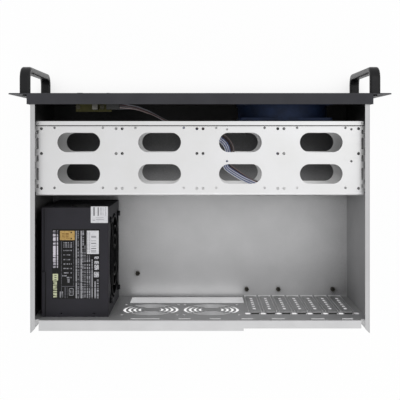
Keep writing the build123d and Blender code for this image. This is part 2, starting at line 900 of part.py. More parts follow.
# Rear panel: web with a foot flange, side flanges and a stepped top flange, all folded rearwards
with BuildPart() as rear_panel:
    with BuildSketch(lengthways(-rear_flange_half)):
        with BuildLine():
            FilletPolyline(
                (depth(rear_out) + rear_foot_flange, sheet),
                (depth(rear_in), sheet),
                (depth(rear_in), case_height),
                (depth(rear_out) + rear_flange_long, case_height),
                radius=fold_radius,
            )
            offset(amount=sheet, side=Side.RIGHT)
        make_face()
    extrude(amount=2 * rear_flange_half)
    for side in (-1, 1):
        with BuildSketch(level(sheet + corner_relief)):
            with BuildLine():
                Polyline(
                    (side * (rear_flange_half - sheet), depth(rear_in)),
                    (side * wall_inner, depth(rear_in)),
                    (side * wall_inner, depth(rear_out) + rear_side_flange),
                    (side * (wall_inner - sheet), depth(rear_out) + rear_side_flange),
                    (side * (wall_inner - sheet), depth(rear_out)),
                    (side * (rear_flange_half - sheet), depth(rear_out)),
                    close=True,
                )
            make_face()
        extrude(amount=case_height - rear_side_drop - sheet - corner_relief)
    # The top flange is shorter above the slots
    with BuildSketch(level(case_height)):
        with Locations(((rear_flange_step_x - rear_flange_half) / 2, depth(rear_out) + rear_flange_long)):
            Rectangle(
                rear_flange_half + rear_flange_step_x,
                2 * (rear_flange_long - rear_flange_short),
            )
    extrude(amount=-sheet, mode=Mode.SUBTRACT)
    # Ledges under the tabs of the slot covers
    with BuildSketch(level(slot_tab_z)):
        with Locations(*[(x, depth(rear_out) + slot_tab_length / 2) for x in slot_xs]):
            Rectangle(slot_tab_width, slot_tab_length)
    extrude(amount=-sheet)
    # Openings through the web
    with BuildSketch(upright(rear_in)):
        with Locations((aperture_middle_x, aperture_bottom + aperture_height / 2)):
            Rectangle(aperture_width, aperture_height)
        with Locations((psu_x + psu_width / 2, psu_z + psu_height / 2)):
            Rectangle(psu_width - 2 * psu_opening_margin, psu_height - 2 * psu_opening_step)
            Rectangle(psu_width - 2 * psu_opening_tuck, psu_height - 2 * psu_opening_margin)
        with Locations(*[(x, (slot_opening_bottom + slot_opening_top) / 2) for x in slot_xs]):
            Rectangle(slot_opening_width, slot_opening_top - slot_opening_bottom)
        with Locations(*[(x, slot_tab_z + slot_window_height / 2) for x in slot_xs]):
            Rectangle(slot_window_width, slot_window_height)
        slot_gap_xs = [slot_first_x + slot_pitch / 2 - slot_pitch * index for index in range(slot_count + 1)]
        slot_gap_bottom = slot_tab_z + sheet
        with Locations(*[(x, slot_gap_bottom + (slot_window_height - sheet) / 2) for x in slot_gap_xs]):
            Rectangle(slot_gap_width, slot_window_height - sheet)
        top_vent_z = case_height - top_vent_drop
        for x, length in top_vents:
            with Locations((x, top_vent_z)):
                Rectangle(length, top_vent_height)
            hole_offset = length / 2 + top_vent_hole_gap + top_vent_hole / 2
            with Locations((x - hole_offset, top_vent_z), (x + hole_offset, top_vent_z)):
                Circle(top_vent_hole / 2)
        with Locations(*[(psu_x + across, psu_z + up) for across, up in psu_screw_points]):
            Circle(psu_screw_bore / 2)
        with Locations(*[(x, rear_vent_z) for x in rear_vent_x]):
            with GridLocations(rear_vent_screw_pitch, rear_vent_screw_pitch, 2, 2):
                Circle(rear_vent_screw_bore / 2)
    extrude(amount=-sheet, mode=Mode.SUBTRACT)
    # Fan vents: rings of arc slots crossed by four spokes
    for x in rear_vent_x:
        with BuildSketch(upright(rear_in)):
            with Locations((x, rear_vent_z)):
                for ring in range(rear_vent_rings):
                    outer = rear_vent_diameter / 2 - rear_vent_step * ring
                    Circle(outer)
                    Circle(outer - rear_vent_slot, mode=Mode.SUBTRACT)
                Rectangle(rear_vent_diameter, rear_vent_spoke, rotation=45, mode=Mode.SUBTRACT)
                Rectangle(rear_vent_diameter, rear_vent_spoke, rotation=-45, mode=Mode.SUBTRACT)
        extrude(amount=-sheet, mode=Mode.SUBTRACT)
finish(rear_panel, "rear_panel")

# Slot covers: vented strips inside the rear panel, each with its tab out through a window
cover_face = rear_in - slot_cover_sheet
for index, x in enumerate(slot_xs):
    with BuildPart() as slot_cover:
        with BuildSketch(upright(cover_face)):
            with BuildLine():
                Polyline(
                    (x - slot_tip_width / 2, slot_bottom_z),
                    (x + slot_tip_width / 2, slot_bottom_z),
                    (x + slot_cover_width / 2, slot_bottom_z + slot_tip_height),
                    (x + slot_cover_width / 2, slot_tab_z - slot_neck_height),
                    (x + slot_tab_width / 2, slot_tab_z),
                    (x - slot_tab_width / 2, slot_tab_z),
                    (x - slot_cover_width / 2, slot_tab_z - slot_neck_height),
                    (x - slot_cover_width / 2, slot_bottom_z + slot_tip_height),
                    close=True,
                )
            make_face()
            with Locations((x, slot_hole_middle)):
                with GridLocations(slot_pitch, slot_hole_pitch, 1, slot_hole_rows):
                    Rectangle(slot_hole_width, slot_hole_height, mode=Mode.SUBTRACT)
        extrude(amount=-slot_cover_sheet)
        with BuildSketch(level(slot_tab_z)):
            with Locations((x, depth(cover_face) + (slot_tab_length + sheet + slot_cover_sheet) / 2)):
                Rectangle(slot_tab_width, slot_tab_length + sheet + slot_cover_sheet)
            with Locations((x, depth(rear_out + slot_screw_setback))):
                Circle(slot_screw_bore / 2, mode=Mode.SUBTRACT)
        extrude(amount=slot_cover_sheet)
    finish(slot_cover, f"slot_cover_{index + 1}")

# Slot retainer: a comb over the tabs, with one tongue through each window
retainer_z = slot_tab_z + slot_cover_sheet
with BuildPart() as slot_retainer:
    with BuildSketch(level(retainer_z)):
        with Locations(*[(x, depth(rear_in) + (slot_tab_length + sheet) / 2) for x in slot_xs]):
            Rectangle(slot_tab_width, slot_tab_length + sheet)
        spine_length = slot_pitch * (slot_count - 1) + slot_tab_width
        spine_middle = (slot_xs[0] + slot_xs[-1]) / 2
        with Locations((spine_middle, depth(rear_out) + slot_tab_length - retainer_spine / 2)):
            Rectangle(spine_length, retainer_spine)
        with Locations(*[(x, depth(rear_out + slot_screw_setback)) for x in slot_xs]):
            Circle(slot_screw_bore / 2, mode=Mode.SUBTRACT)
    extrude(amount=retainer_sheet)
finish(slot_retainer, "slot_retainer")

slot_seats = [Plane((x, depth(rear_out + slot_screw_setback), retainer_z + retainer_sheet)) for x in slot_xs]
slot_screws = screw_group(
    slot_seats, screw_head, screw_head_height, slot_screw_bore - screw_fit, retainer_sheet + slot_cover_sheet
)
finish(slot_screws, "slot_screws")

# Power supply cover: the fan face with a top and a bottom, folded as a U
psu_fan_y = psu_rear - psu_fan_setback
psu_fan_z = psu_z + psu_height / 2
psu_fan_mouth_plane = Plane((psu_x, depth(psu_fan_y), psu_fan_z), x_dir=(0, 1, 0), z_dir=(1, 0, 0))
with BuildPart() as psu_cover:
    with BuildSketch(upright(psu_rear - psu_rear_lip)):
        with BuildLine():
            FilletPolyline(
                (psu_far_x - psu_seam, psu_top),
                (psu_x, psu_top),
                (psu_x, psu_z),
                (psu_far_x - psu_seam, psu_z),
                radius=psu_fold,
            )
            offset(amount=psu_sheet, side=Side.LEFT)
        make_face()
    extrude(amount=psu_length - psu_rear_lip)
    with BuildSketch(psu_fan_mouth_plane):
        Circle(psu_fan_mouth / 2)
        with GridLocations(fan_screw_pitch, fan_screw_pitch, 2, 2):
            Circle(fan_screw_bore / 2)
    extrude(amount=psu_sheet, mode=Mode.SUBTRACT)
    # Two small notches in the rear edge of the top
    with BuildSketch(level(psu_top)):
        with Locations(*[(psu_x + across, depth(psu_rear - psu_rear_lip)) for across in psu_notch_xs]):
            Circle(psu_notch_bore / 2)
    extrude(amount=-psu_sheet, mode=Mode.SUBTRACT)
finish(psu_cover, "psu_cover")

# Power supply shell: far wall with flanges, a lipped rear wall and a front wall inside the cover
psu_wall_x = psu_far_x - psu_sheet
with BuildPart() as psu_shell:
    with BuildSketch(upright(psu_rear)):
        with BuildLine():
            FilletPolyline(
                (psu_far_x - psu_seam + psu_seat_gap, psu_top),
                (psu_far_x, psu_top),
                (psu_far_x, psu_z),
                (psu_far_x - psu_seam + psu_seat_gap, psu_z),
                radius=psu_fold,
            )
            offset(amount=psu_sheet, side=Side.RIGHT)
        make_face()
    extrude(amount=psu_length)
    psu_middle = (psu_x + psu_width / 2, psu_z + psu_height / 2)
    with BuildSketch(upright(psu_rear)):
        with Locations(psu_middle):
            Rectangle(psu_width, psu_height)
            Rectangle(psu_width - 2 * psu_sheet, psu_height - 2 * psu_sheet, mode=Mode.SUBTRACT)
    extrude(amount=psu_lip)
    with BuildSketch(upright(psu_rear)):
        with Locations(psu_middle):
            Rectangle(psu_width, psu_height)
    extrude(amount=psu_sheet)
    front_wall_left = psu_x + psu_sheet + psu_seat_gap
    front_wall_height = psu_height - 2 * psu_sheet - 2 * psu_seat_gap
    with BuildSketch(upright(psu_front + psu_front_inset)):
        with Locations(((front_wall_left + psu_wall_x) / 2, psu_z + psu_height / 2)):
            Rectangle(psu_wall_x - front_wall_left, front_wall_height)
        with Locations((bush_x, bush_z)):
            Circle(bush_neck / 2, mode=Mode.SUBTRACT)
    extrude(amount=-psu_sheet)
    # Rear wall cut-outs for the inlet, the switch, the screws and the air
    with BuildSketch(upright(psu_rear)):
        with Locations((inlet_x, inlet_z)):
            Rectangle(inlet_width, inlet_height)
        with Locations((inlet_x, rocker_z)):
            Rectangle(rocker_width, rocker_height)
        with Locations(*[(psu_x + across, psu_z + up) for across, up in psu_screw_points]):
            Circle(screw_shank / 2 + screw_fit)
        with Locations((psu_x + psu_width / 2, psu_vent_z)):
            with GridLocations(psu_vent_length, psu_vent_pitch, 1, psu_vent_count):
                Rectangle(psu_vent_length, psu_vent_slot)
    extrude(amount=psu_sheet, mode=Mode.SUBTRACT)
finish(psu_shell, "psu_shell")

psu_fan_inner_plane = psu_fan_mouth_plane.offset(psu_sheet)
psu_fan_frame = fan_frame(psu_fan_inner_plane)
finish(psu_fan_frame, "psu_fan_frame")
psu_fan_rotor = fan_rotor(psu_fan_inner_plane)
finish(psu_fan_rotor, "psu_fan_rotor")

# Fan guard: rings on four arms, with an eye at each screw
with BuildPart() as psu_fan_guard:
    with BuildSketch(psu_fan_mouth_plane):
        for ring in reversed(guard_rings):
            Circle(ring + guard_wire / 2)
            Circle(ring - guard_wire / 2, mode=Mode.SUBTRACT)
        arm_length = fan_half_pitch * math.sqrt(2) - guard_rings[0]
        with PolarLocations(guard_rings[0] + arm_length / 2, 4, start_angle=45):
            Rectangle(arm_length, guard_wire)
        with GridLocations(fan_screw_pitch, fan_screw_pitch, 2, 2):
            Circle(guard_eye)
            Circle(fan_screw_bore / 2, mode=Mode.SUBTRACT)
    extrude(amount=-guard_wire)
finish(psu_fan_guard, "psu_fan_guard")

psu_fan_seats = []
for screw_y in (psu_fan_y - fan_half_pitch, psu_fan_y + fan_half_pitch):
    for screw_z in (psu_fan_z - fan_half_pitch, psu_fan_z + fan_half_pitch):
        psu_fan_seats.append(
            Plane((psu_x - guard_wire, depth(screw_y), screw_z), x_dir=(0, 1, 0), z_dir=(-1, 0, 0))
        )
psu_fan_screws = screw_group(
    psu_fan_seats, screw_head, screw_head_height, fan_screw_bore - screw_fit, guard_wire + psu_sheet + fan_flange
)
finish(psu_fan_screws, "psu_fan_screws")

psu_seats = []
for across, up in psu_screw_points:
    psu_seats.append(Plane((psu_x + across, depth(rear_out), psu_z + up), x_dir=(1, 0, 0), z_dir=(0, 1, 0)))
psu_screws = screw_group(psu_seats, screw_head, screw_head_height, screw_shank, screw_length)
finish(psu_screws, "psu_screws")

# Mains inlet: a flanged body with a recess and three blades
with BuildPart() as psu_inlet:
    with BuildSketch(upright(psu_rear)):
        with Locations((inlet_x, inlet_z)):
            RectangleRounded(inlet_width + 2 * inlet_rim, inlet_height + 2 * inlet_rim, inlet_rim)
    extrude(amount=-inlet_flange)
    with BuildSketch(upright(psu_rear)):
        with Locations((inlet_x, inlet_z)):
            Rectangle(inlet_width, inlet_height)
    extrude(amount=inlet_depth)
    with BuildSketch(upright(psu_rear + inlet_flange)):
        with Locations((inlet_x, inlet_z)):
            Rectangle(inlet_width - 2 * inlet_wall, inlet_height - 2 * inlet_wall)
        pin_points = ((-pin_pitch, 0), (pin_pitch, 0), (0, pin_width))
        with Locations(*[(inlet_x + across, inlet_z + up) for across, up in pin_points]):
            Rectangle(pin_thickness, pin_width, mode=Mode.SUBTRACT)
    extrude(amount=inlet_recess, mode=Mode.SUBTRACT)
finish(psu_inlet, "psu_inlet")

# Mains switch: an open housing, and a rocker on a pin across it
rocker_pin_y = psu_rear - rocker_wall - rocker_pin
with BuildPart() as psu_switch_body:
    with BuildSketch(upright(psu_rear)):
        with Locations((inlet_x, rocker_z)):
            RectangleRounded(rocker_width + 2 * rocker_rim, rocker_height + 2 * rocker_rim, rocker_rim)
    extrude(amount=-rocker_wall)
    with BuildSketch(upright(psu_rear)):
        with Locations((inlet_x, rocker_z)):
            Rectangle(rocker_width, rocker_height)
    extrude(amount=rocker_depth)
    with BuildSketch(upright(psu_rear + rocker_wall)):
        with Locations((inlet_x, rocker_z)):
            Rectangle(rocker_width - 2 * rocker_wall, rocker_height - 2 * rocker_wall)
    extrude(amount=rocker_depth, mode=Mode.SUBTRACT)
    with BuildSketch(lengthways(inlet_x)):
        with Locations((depth(rocker_pin_y), rocker_z)):
            Circle(rocker_pin / 2 + fan_running_fit)
    extrude(amount=rocker_width / 2, both=True, mode=Mode.SUBTRACT)
finish(psu_switch_body, "psu_switch_body")

# The rocker rests with its lower half pressed in. Across its plane runs the way out, up it the height.
rocker_half = rocker_height / 2 - rocker_wall - rocker_gap
rocker_reach = rocker_pin + rocker_wall
rocker_plane = Plane((inlet_x, depth(rocker_pin_y), rocker_z), x_dir=(0, 1, 0), z_dir=(1, 0, 0))
with BuildPart() as psu_rocker:
    with BuildSketch(rocker_plane.rotated((-rocker_tilt, 0, 0))):
        with BuildLine():
            Polyline(
                (-rocker_pin, -rocker_half / 2),
                (-rocker_pin, rocker_half / 2),
                (rocker_reach + rocker_wall, rocker_half),
                (rocker_reach, 0),
                (rocker_reach + rocker_wall, -rocker_half),
                close=True,
            )
        make_face()
    extrude(amount=rocker_width / 2 - rocker_wall - rocker_gap, both=True)
    with BuildSketch(rocker_plane):
        Circle(rocker_pin / 2)
    extrude(amount=rocker_width / 2 - rocker_wall / 2, both=True)
finish(psu_rocker, "psu_rocker")

# Bush in the front wall of the power supply, where its leads would come out
with BuildPart() as psu_lead_bush:
    with BuildSketch(upright(psu_front + psu_front_inset)):
        with Locations((bush_x, bush_z)):
            Circle(bush_diameter / 2)
    extrude(amount=bush_flange)
    with BuildSketch(upright(psu_front + psu_front_inset)):
        with Locations((bush_x, bush_z)):
            Circle(bush_neck / 2)
    extrude(amount=-bush_depth)
    with BuildSketch(upright(psu_front + psu_front_inset - bush_flange)):
        with Locations((bush_x, bush_z)):
            Circle(bush_bore / 2)
    extrude(amount=-(bush_flange + bush_depth), mode=Mode.SUBTRACT)
finish(psu_lead_bush, "psu_lead_bush")

# Standoffs for the main board
standoff_points = [(x, y) for x in standoff_columns for y in standoff_rows]
standoff_points[0] = (standoff_columns[0], standoff_rows[0] - standoff_corner_setback)
standoff_points.append((standoff_extra_x, standoff_rows[0]))
with BuildPart() as board_standoffs:
    with BuildSketch(level(sheet)):
        with Locations(*[(x, depth(y)) for x, y in standoff_points]):
            RegularPolygon(standoff_width / 2, 6, major_radius=False)
            Circle(standoff_bore / 2, mode=Mode.SUBTRACT)
    extrude(amount=standoff_height)
finish(board_standoffs, "board_standoffs")

# Front lead: from its plug on the connector board into the drive cage
# The third value of each point is its share of the drop from the header to the lower shelf.
lead_rest_z = shelf_lower_z + lead_diameter / 2 + lead_rest_gap
lead_start_z = io_board_top + header_height / 2
lead_route = (
    (plug_x, header_y, 1.0),
    (90.0, header_y, 1.0),
    (72.0, 20.0, 0.87),
    (57.0, 27.5, 0.62),
    (43.0, 35.5, 0.36),
    (24.0, 43.0, 0.16),
    (2.0, 48.0, 0.06),
    (-20.0, 52.0, 0.02),
    (-35.0, 63.0, 0.0),
    (-37.5, 79.0, 0.0),
    (-37.2, 94.0, 0.0),
    (-50.0, 107.8, 0.0),
    (-64.0, 119.0, 0.0),
    (-84.0, 123.0, 0.0),
    (-100.0, 111.0, 0.0),
    (lead_plug_x, 90.0, 0.0),
    (lead_plug_x, lead_plug_y + lead_plug_length, 0.0),
)
lead_points = []
for x, y, share in lead_route:
    lead_points.append(Vector(x, depth(y), lead_rest_z + (lead_start_z - lead_rest_z) * share))
lead_radii = []
for before, corner, after in zip(lead_points, lead_points[1:], lead_points[2:]):
    shorter_run = min((corner - before).length, (after - corner).length)
    turn = (corner - before).get_angle(after - corner)
    lead_radii.append(0.45 * shorter_run / math.tan(math.radians(turn / 2)))
    print("lead corner: run", round(shorter_run, 1), "turn", round(turn, 1), "radius", round(lead_radii[-1], 1))

with BuildPart() as panel_lead:
    with BuildLine() as lead_line:
        FilletPolyline(*lead_points, radius=lead_radii)
    with BuildSketch(Plane(lead_points[0], z_dir=lead_points[1] - lead_points[0])):
        Circle(lead_diameter / 2)
    sweep()
lead_length = sum(edge.length for edge in lead_line.edges())
lead_section = math.pi * lead_diameter**2 / 4
lead_volume = panel_lead.part.volume
print("lead length", round(lead_length, 1), "volume ratio", lead_volume / (lead_section * lead_length))
finish(panel_lead, "panel_lead")

with BuildPart() as lead_end_plug:
    with BuildSketch(level(shelf_lower_z)):
        with Locations((lead_plug_x, depth(lead_plug_y + lead_plug_length / 2))):
            Rectangle(lead_plug_width, lead_plug_length)
    extrude(amount=lead_diameter + 2 * lead_rest_gap)
    fillet(lead_end_plug.edges().filter_by(Axis.Z), radius=sheet)
finish(lead_end_plug, "lead_end_plug")
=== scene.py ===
"""Dresses the open rackmount server case: finishes, the front ribbon lead, labels, rivets and studio."""

import math

import bmesh
import bpy
from mathutils import Matrix, Vector


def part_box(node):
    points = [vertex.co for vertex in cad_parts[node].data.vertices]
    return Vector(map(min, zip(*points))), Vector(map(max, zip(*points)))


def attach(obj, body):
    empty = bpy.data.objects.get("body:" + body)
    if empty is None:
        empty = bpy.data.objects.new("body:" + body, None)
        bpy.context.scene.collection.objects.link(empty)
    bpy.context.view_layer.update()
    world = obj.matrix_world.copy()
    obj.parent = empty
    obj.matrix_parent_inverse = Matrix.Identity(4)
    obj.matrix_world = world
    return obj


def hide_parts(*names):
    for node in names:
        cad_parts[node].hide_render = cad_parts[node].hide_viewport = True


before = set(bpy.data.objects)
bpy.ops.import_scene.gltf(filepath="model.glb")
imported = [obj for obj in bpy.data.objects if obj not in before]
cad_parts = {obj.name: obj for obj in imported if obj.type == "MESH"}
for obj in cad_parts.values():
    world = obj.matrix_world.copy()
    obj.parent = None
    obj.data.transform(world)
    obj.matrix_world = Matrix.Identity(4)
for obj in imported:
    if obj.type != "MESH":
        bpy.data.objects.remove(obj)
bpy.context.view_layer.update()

bl_info = {
    "name": "Rackmount server case",
    "version": (1, 0, 0),
    "blender": (4, 5, 0),
    "location": "View3D > Sidebar > Server Case",
    "description": "Finishes, lead, labels, small fasteners and studio for an open rackmount server case",
    "category": "Object",
}

FRONT_FACE_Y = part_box("front_panel")[0][1]
SUPPLY_TOP_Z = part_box("psu_cover")[1][2]
ROOT = "case"
SLOT_COUNT = 7
# Middles of the expansion slots
SLOT_XS = [-72.7 - 20.32 * index for index in range(SLOT_COUNT)]


def mm(value):
    """Millimetres as metres."""
    return value / 1000


def place(x, depth, z):
    """Point of the case from X, the depth behind its front face and Z, all in millimetres."""
    return Vector((mm(x), FRONT_FACE_Y + mm(depth), mm(z)))


def linear(hex_colour):
    """sRGB hex colour as linear values, with full alpha."""
    channels = []
    for start in (1, 3, 5):
        value = int(hex_colour[start:start + 2], 16) / 255
        channels.append(value / 12.92 if value <= 0.04045 else ((value + 0.055) / 1.055) ** 2.4)
    return (*channels, 1.0)


def add_node(tree, kind, inputs=None, **settings):
    """Add a node with its settings; inputs holds values or the sockets they come from."""
    node = tree.nodes.new(kind)
    for key, value in settings.items():
        setattr(node, key, value)
    for key, value in (inputs or {}).items():
        if isinstance(value, bpy.types.NodeSocket):
            tree.links.new(value, node.inputs[key])
        else:
            node.inputs[key].default_value = value
    return node


def new_material(name, **surface):
    """Material with one Principled shader; returns it, its tree, the shader and the object coordinates."""
    material = bpy.data.materials.new(name)
    material.use_nodes = True
    tree = material.node_tree
    tree.nodes.clear()
    shader = add_node(tree, "ShaderNodeBsdfPrincipled", {k.replace("_", " "): v for k, v in surface.items()})
    add_node(tree, "ShaderNodeOutputMaterial", {"Surface": shader.outputs["BSDF"]})
    where = add_node(tree, "ShaderNodeTexCoord").outputs["Object"]
    return material, tree, shader, where


def grain(tree, where, size, stretch=(1, 1, 1), detail=3.0):
    """Noise whose features are about this many millimetres across."""
    spread = add_node(tree, "ShaderNodeMapping", {"Vector": where, "Scale": stretch}).outputs["Vector"]
    return add_node(
        tree, "ShaderNodeTexNoise", {"Vector": spread, "Scale": 1000 / size, "Detail": detail}
    ).outputs["Fac"]


def ramp(tree, source, low, high, from_low=0.35, from_high=0.65):
    """Spread a factor between two values."""
    return add_node(
        tree, "ShaderNodeMapRange",
        {"Value": source, "From Min": from_low, "From Max": from_high, "To Min": low, "To Max": high},
    ).outputs["Result"]


def tint(tree, factor, first, second):
    """Mix two hex colours by a factor."""
    mix = add_node(tree, "ShaderNodeMix", {0: factor}, data_type="RGBA")
    mix.inputs[6].default_value = linear(first)
    mix.inputs[7].default_value = linear(second)
    return mix.outputs[2]


def roughen(tree, shader, height, strength, distance):
    """Bump the surface by a height, with the distance in millimetres."""
    bump = add_node(
        tree, "ShaderNodeBump", {"Height": height, "Strength": strength, "Distance": mm(distance)}
    )
    tree.links.new(bump.outputs["Normal"], shader.inputs["Normal"])


def direct_view(tree):
    """One for rays from the camera and for those that metal or a clear lens passes on, else nought."""
    path = add_node(tree, "ShaderNodeLightPath")
    bounced = add_node(
        tree, "ShaderNodeMath", {0: path.outputs["Is Glossy Ray"], 1: path.outputs["Is Transmission Ray"]},
        operation="MAXIMUM",
    )
    return add_node(
        tree, "ShaderNodeMath", {0: path.outputs["Is Camera Ray"], 1: bounced.outputs[0]}, operation="MAXIMUM"
    ).outputs[0]


def zinc_sheet(name, base, worn, rough_low, rough_high, dull=None, metal=1.0):
    """Electro-galvanised sheet steel, rolled and folded: pale, satin, with a faint grain along its length. A
    dull colour, if given, is painted shade where the sheet is closed in.
    """
    material, tree, shader, where = new_material(name, Metallic=metal)
    rolling = grain(tree, where, 1.2, (0.12, 1.0, 1.0))
    cloud = grain(tree, where, 38, detail=4.0)
    colour = tint(tree, ramp(tree, cloud, 0, 1), base, worn)
    if dull:
        # Painted shade: darker where the sheet is closed in, most under the shelves, to bring the floor near
        # the photo's
        open_sky = add_node(tree, "ShaderNodeAmbientOcclusion", {"Distance": mm(160)}, samples=8)
        spot = add_node(tree, "ShaderNodeSeparateXYZ", {"Vector": where})
        under_shelf = FRONT_FACE_Y + mm(118)
        behind_shelf = FRONT_FACE_Y + mm(150)
        clear = ramp(tree, spot.outputs["Y"], 0.8, 0.34, under_shelf, behind_shelf)
        unshaded = ramp(tree, open_sky.outputs["AO"], 0, 1, 0.1, clear)
        mix = add_node(tree, "ShaderNodeMix", {0: unshaded}, data_type="RGBA")
        mix.inputs[6].default_value = linear(dull)
        tree.links.new(colour, mix.inputs[7])
        colour = mix.outputs[2]
    tree.links.new(colour, shader.inputs["Base Color"])
    tree.links.new(ramp(tree, rolling, rough_low, rough_high), shader.inputs["Roughness"])
    roughen(tree, shader, rolling, 0.06, 0.04)
    return material


def powder_coat(name, base, high, grit, rough, strength=0.35, index=1.5):
    """Baked powder paint on steel: even colour over a fine pebbled skin that spreads every highlight."""
    material, tree, shader, where = new_material(name, IOR=index)
    pebble = grain(tree, where, grit, detail=2.0)
    cloud = grain(tree, where, 24)
    tree.links.new(tint(tree, ramp(tree, cloud, 0, 1), base, high), shader.inputs["Base Color"])
    tree.links.new(ramp(tree, pebble, rough - 0.05, rough + 0.07), shader.inputs["Roughness"])
    roughen(tree, shader, pebble, strength, 0.12)
    return material


def moulded_plastic(name, base, high, rough, index=1.53):
    """Injection-moulded plastic: spark-eroded tool texture gives it a soft sheen."""
    material, tree, shader, where = new_material(name, IOR=index)
    skin = grain(tree, where, 0.5, detail=2.0)
    cloud = grain(tree, where, 15)
    tree.links.new(tint(tree, ramp(tree, cloud, 0, 1), base, high), shader.inputs["Base Color"])
    tree.links.new(ramp(tree, skin, rough - 0.04, rough + 0.06), shader.inputs["Roughness"])
    roughen(tree, shader, skin, 0.15, 0.05)
    return material


def plated_metal(name, base, worn, rough, scale=6.0):
    """Plated or turned metal: bright, with a slight smear from handling."""
    material, tree, shader, where = new_material(name, Metallic=1.0)
    smear = grain(tree, where, scale)
    tree.links.new(tint(tree, ramp(tree, smear, 0, 1), base, worn), shader.inputs["Base Color"])
    tree.links.new(ramp(tree, smear, rough, rough + 0.12), shader.inputs["Roughness"])
    return material


def printed_stock(name, base, ink, dash, cover, stretch=(1, 1, 1), rough=0.55):
    """Printed label stock: flat ink over a smooth film, broken into fine marks too small to read."""
    material, tree, shader, where = new_material(name, IOR=1.3)
    marks = grain(tree, where, dash, stretch, detail=1.0)
    printed = ramp(tree, marks, 0, 1, cover, cover + 0.04)
    tree.links.new(tint(tree, printed, base, ink), shader.inputs["Base Color"])
    shader.inputs["Roughness"].default_value = rough
    return material


def circuit_board(name):
    """Fibreglass board under green solder mask: slightly glossy, with tracks just showing as paler lines."""
    material, tree, shader, where = new_material(name, Roughness=0.4, IOR=1.2)
    tracks = add_node(
        tree, "ShaderNodeTexBrick",
        {"Vector": where, "Scale": 1000, "Mortar Size": 0.25, "Brick Width": 3.0, "Row Height": 1.3},
    )
    tracks.inputs["Color1"].default_value = linear("#35351c")
    tracks.inputs["Color2"].default_value = linear("#272a1a")
    tracks.inputs["Mortar"].default_value = linear("#57532c")
    tree.links.new(tracks.outputs["Color"], shader.inputs["Base Color"])
    return material


def insulation(name, base, high):
    """PVC wire insulation: extruded, smooth and slightly waxy."""
    material, tree, shader, where = new_material(name, Roughness=0.38, IOR=1.53)
    cloud = grain(tree, where, 9)
    tree.links.new(tint(tree, ramp(tree, cloud, 0, 1), base, high), shader.inputs["Base Color"])
    return material


def as_piece(name, mesh, body=ROOT):
    """Put a finished mesh in the scene as a piece that rides on a body."""
    piece = bpy.data.objects.new(name, mesh)
    bpy.context.scene.collection.objects.link(piece)
    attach(piece, body)
    return piece


def shade_smooth(mesh, angle=40):
    """Smooth faces, with creases sharper than the angle kept."""
    mesh.set_sharp_from_angle(angle=math.radians(angle))
    mesh.polygons.foreach_set("use_smooth", [True] * len(mesh.polygons))


def add_plate(bm, x0, x1, y0, y1, z0, z1, corner=0.6, material=0):
    """Add a thin upright-sided plate with rounded corners, in millimetres of the case frame."""
    low_x, high_x = sorted((x0, x1))
    low_y, high_y = sorted((y0, y1))
    corner = min(corner, (high_x - low_x) * 0.49, (high_y - low_y) * 0.49)
    outline = []
    for centre_x, centre_y, start in (
        (high_x - corner, high_y - corner, 0), (low_x + corner, high_y - corner, 90),
        (low_x + corner, low_y + corner, 180), (high_x - corner, low_y + corner, 270),
    ):
        for step in range(4):
            turn = math.radians(start + 30 * step)
            outline.append((centre_x + corner * math.cos(turn), centre_y + corner * math.sin(turn)))
    bottom = [bm.verts.new(place(x, y, z0)) for x, y in outline]
    top = [bm.verts.new(place(x, y, z1)) for x, y in outline]
    faces = [bm.faces.new(top), bm.faces.new(reversed(bottom))]
    for index, vertex in enumerate(bottom):
        after = (index + 1) % len(bottom)
        faces.append(bm.faces.new((vertex, bottom[after], top[after], top[index])))
    for face in faces:
        face.material_index = material


class SC_PG_case(bpy.types.PropertyGroup):
    """Finishes of the case's sheet metal and plastic."""

    tray_zinc: bpy.props.StringProperty(
        name="Tray zinc", description="Colour of the folded tray, sRGB hex", default="#b8b8b9")
    shelf_zinc: bpy.props.StringProperty(
        name="Shelf zinc", description="Colour of the upper drive shelf, sRGB hex", default="#d1d1d2")
    front_black: bpy.props.StringProperty(
        name="Front paint", description="Colour of the rack front, sRGB hex", default="#39393d")
    supply_black: bpy.props.StringProperty(
        name="Supply paint", description="Colour of the power supply, sRGB hex", default="#28272c")


class SC_PG_lead(bpy.types.PropertyGroup):
    """Sizes of the front ribbon lead."""

    conductors: bpy.props.IntProperty(
        name="Conductors", description="Wires side by side in the ribbon", default=6, min=2, max=20)
    pitch: bpy.props.FloatProperty(
        name="Pitch", description="Distance between two wires of the ribbon", default=mm(1.27),
        unit="LENGTH", subtype="DISTANCE")
    wire: bpy.props.FloatProperty(
        name="Loose wire", description="Diameter of the two loose wires", default=mm(1.3),
        unit="LENGTH", subtype="DISTANCE")


class SC_PG_studio(bpy.types.PropertyGroup):
    """Camera and light."""

    camera_height: bpy.props.FloatProperty(
        name="Camera height", description="Height of the camera above the floor", default=1.316,
        unit="LENGTH", subtype="DISTANCE")
    camera_depth: bpy.props.FloatProperty(
        name="Camera depth", description="Camera's place behind the front face", default=mm(56.6),
        unit="LENGTH", subtype="DISTANCE")
    lens: bpy.props.FloatProperty(
        name="Lens", description="Focal length on a 36 mm wide sensor", default=81.57)
    sky: bpy.props.FloatProperty(name="Sky", description="Strength of the even light", default=0.8)
    side_box: bpy.props.FloatProperty(
        name="Side soft box", description="Power of the large lamp at the slots' side", default=4.0,
        unit="POWER")
    rear_box: bpy.props.FloatProperty(
        name="Rear soft box", description="Power of the lamp behind the case", default=3.5,
        unit="POWER")


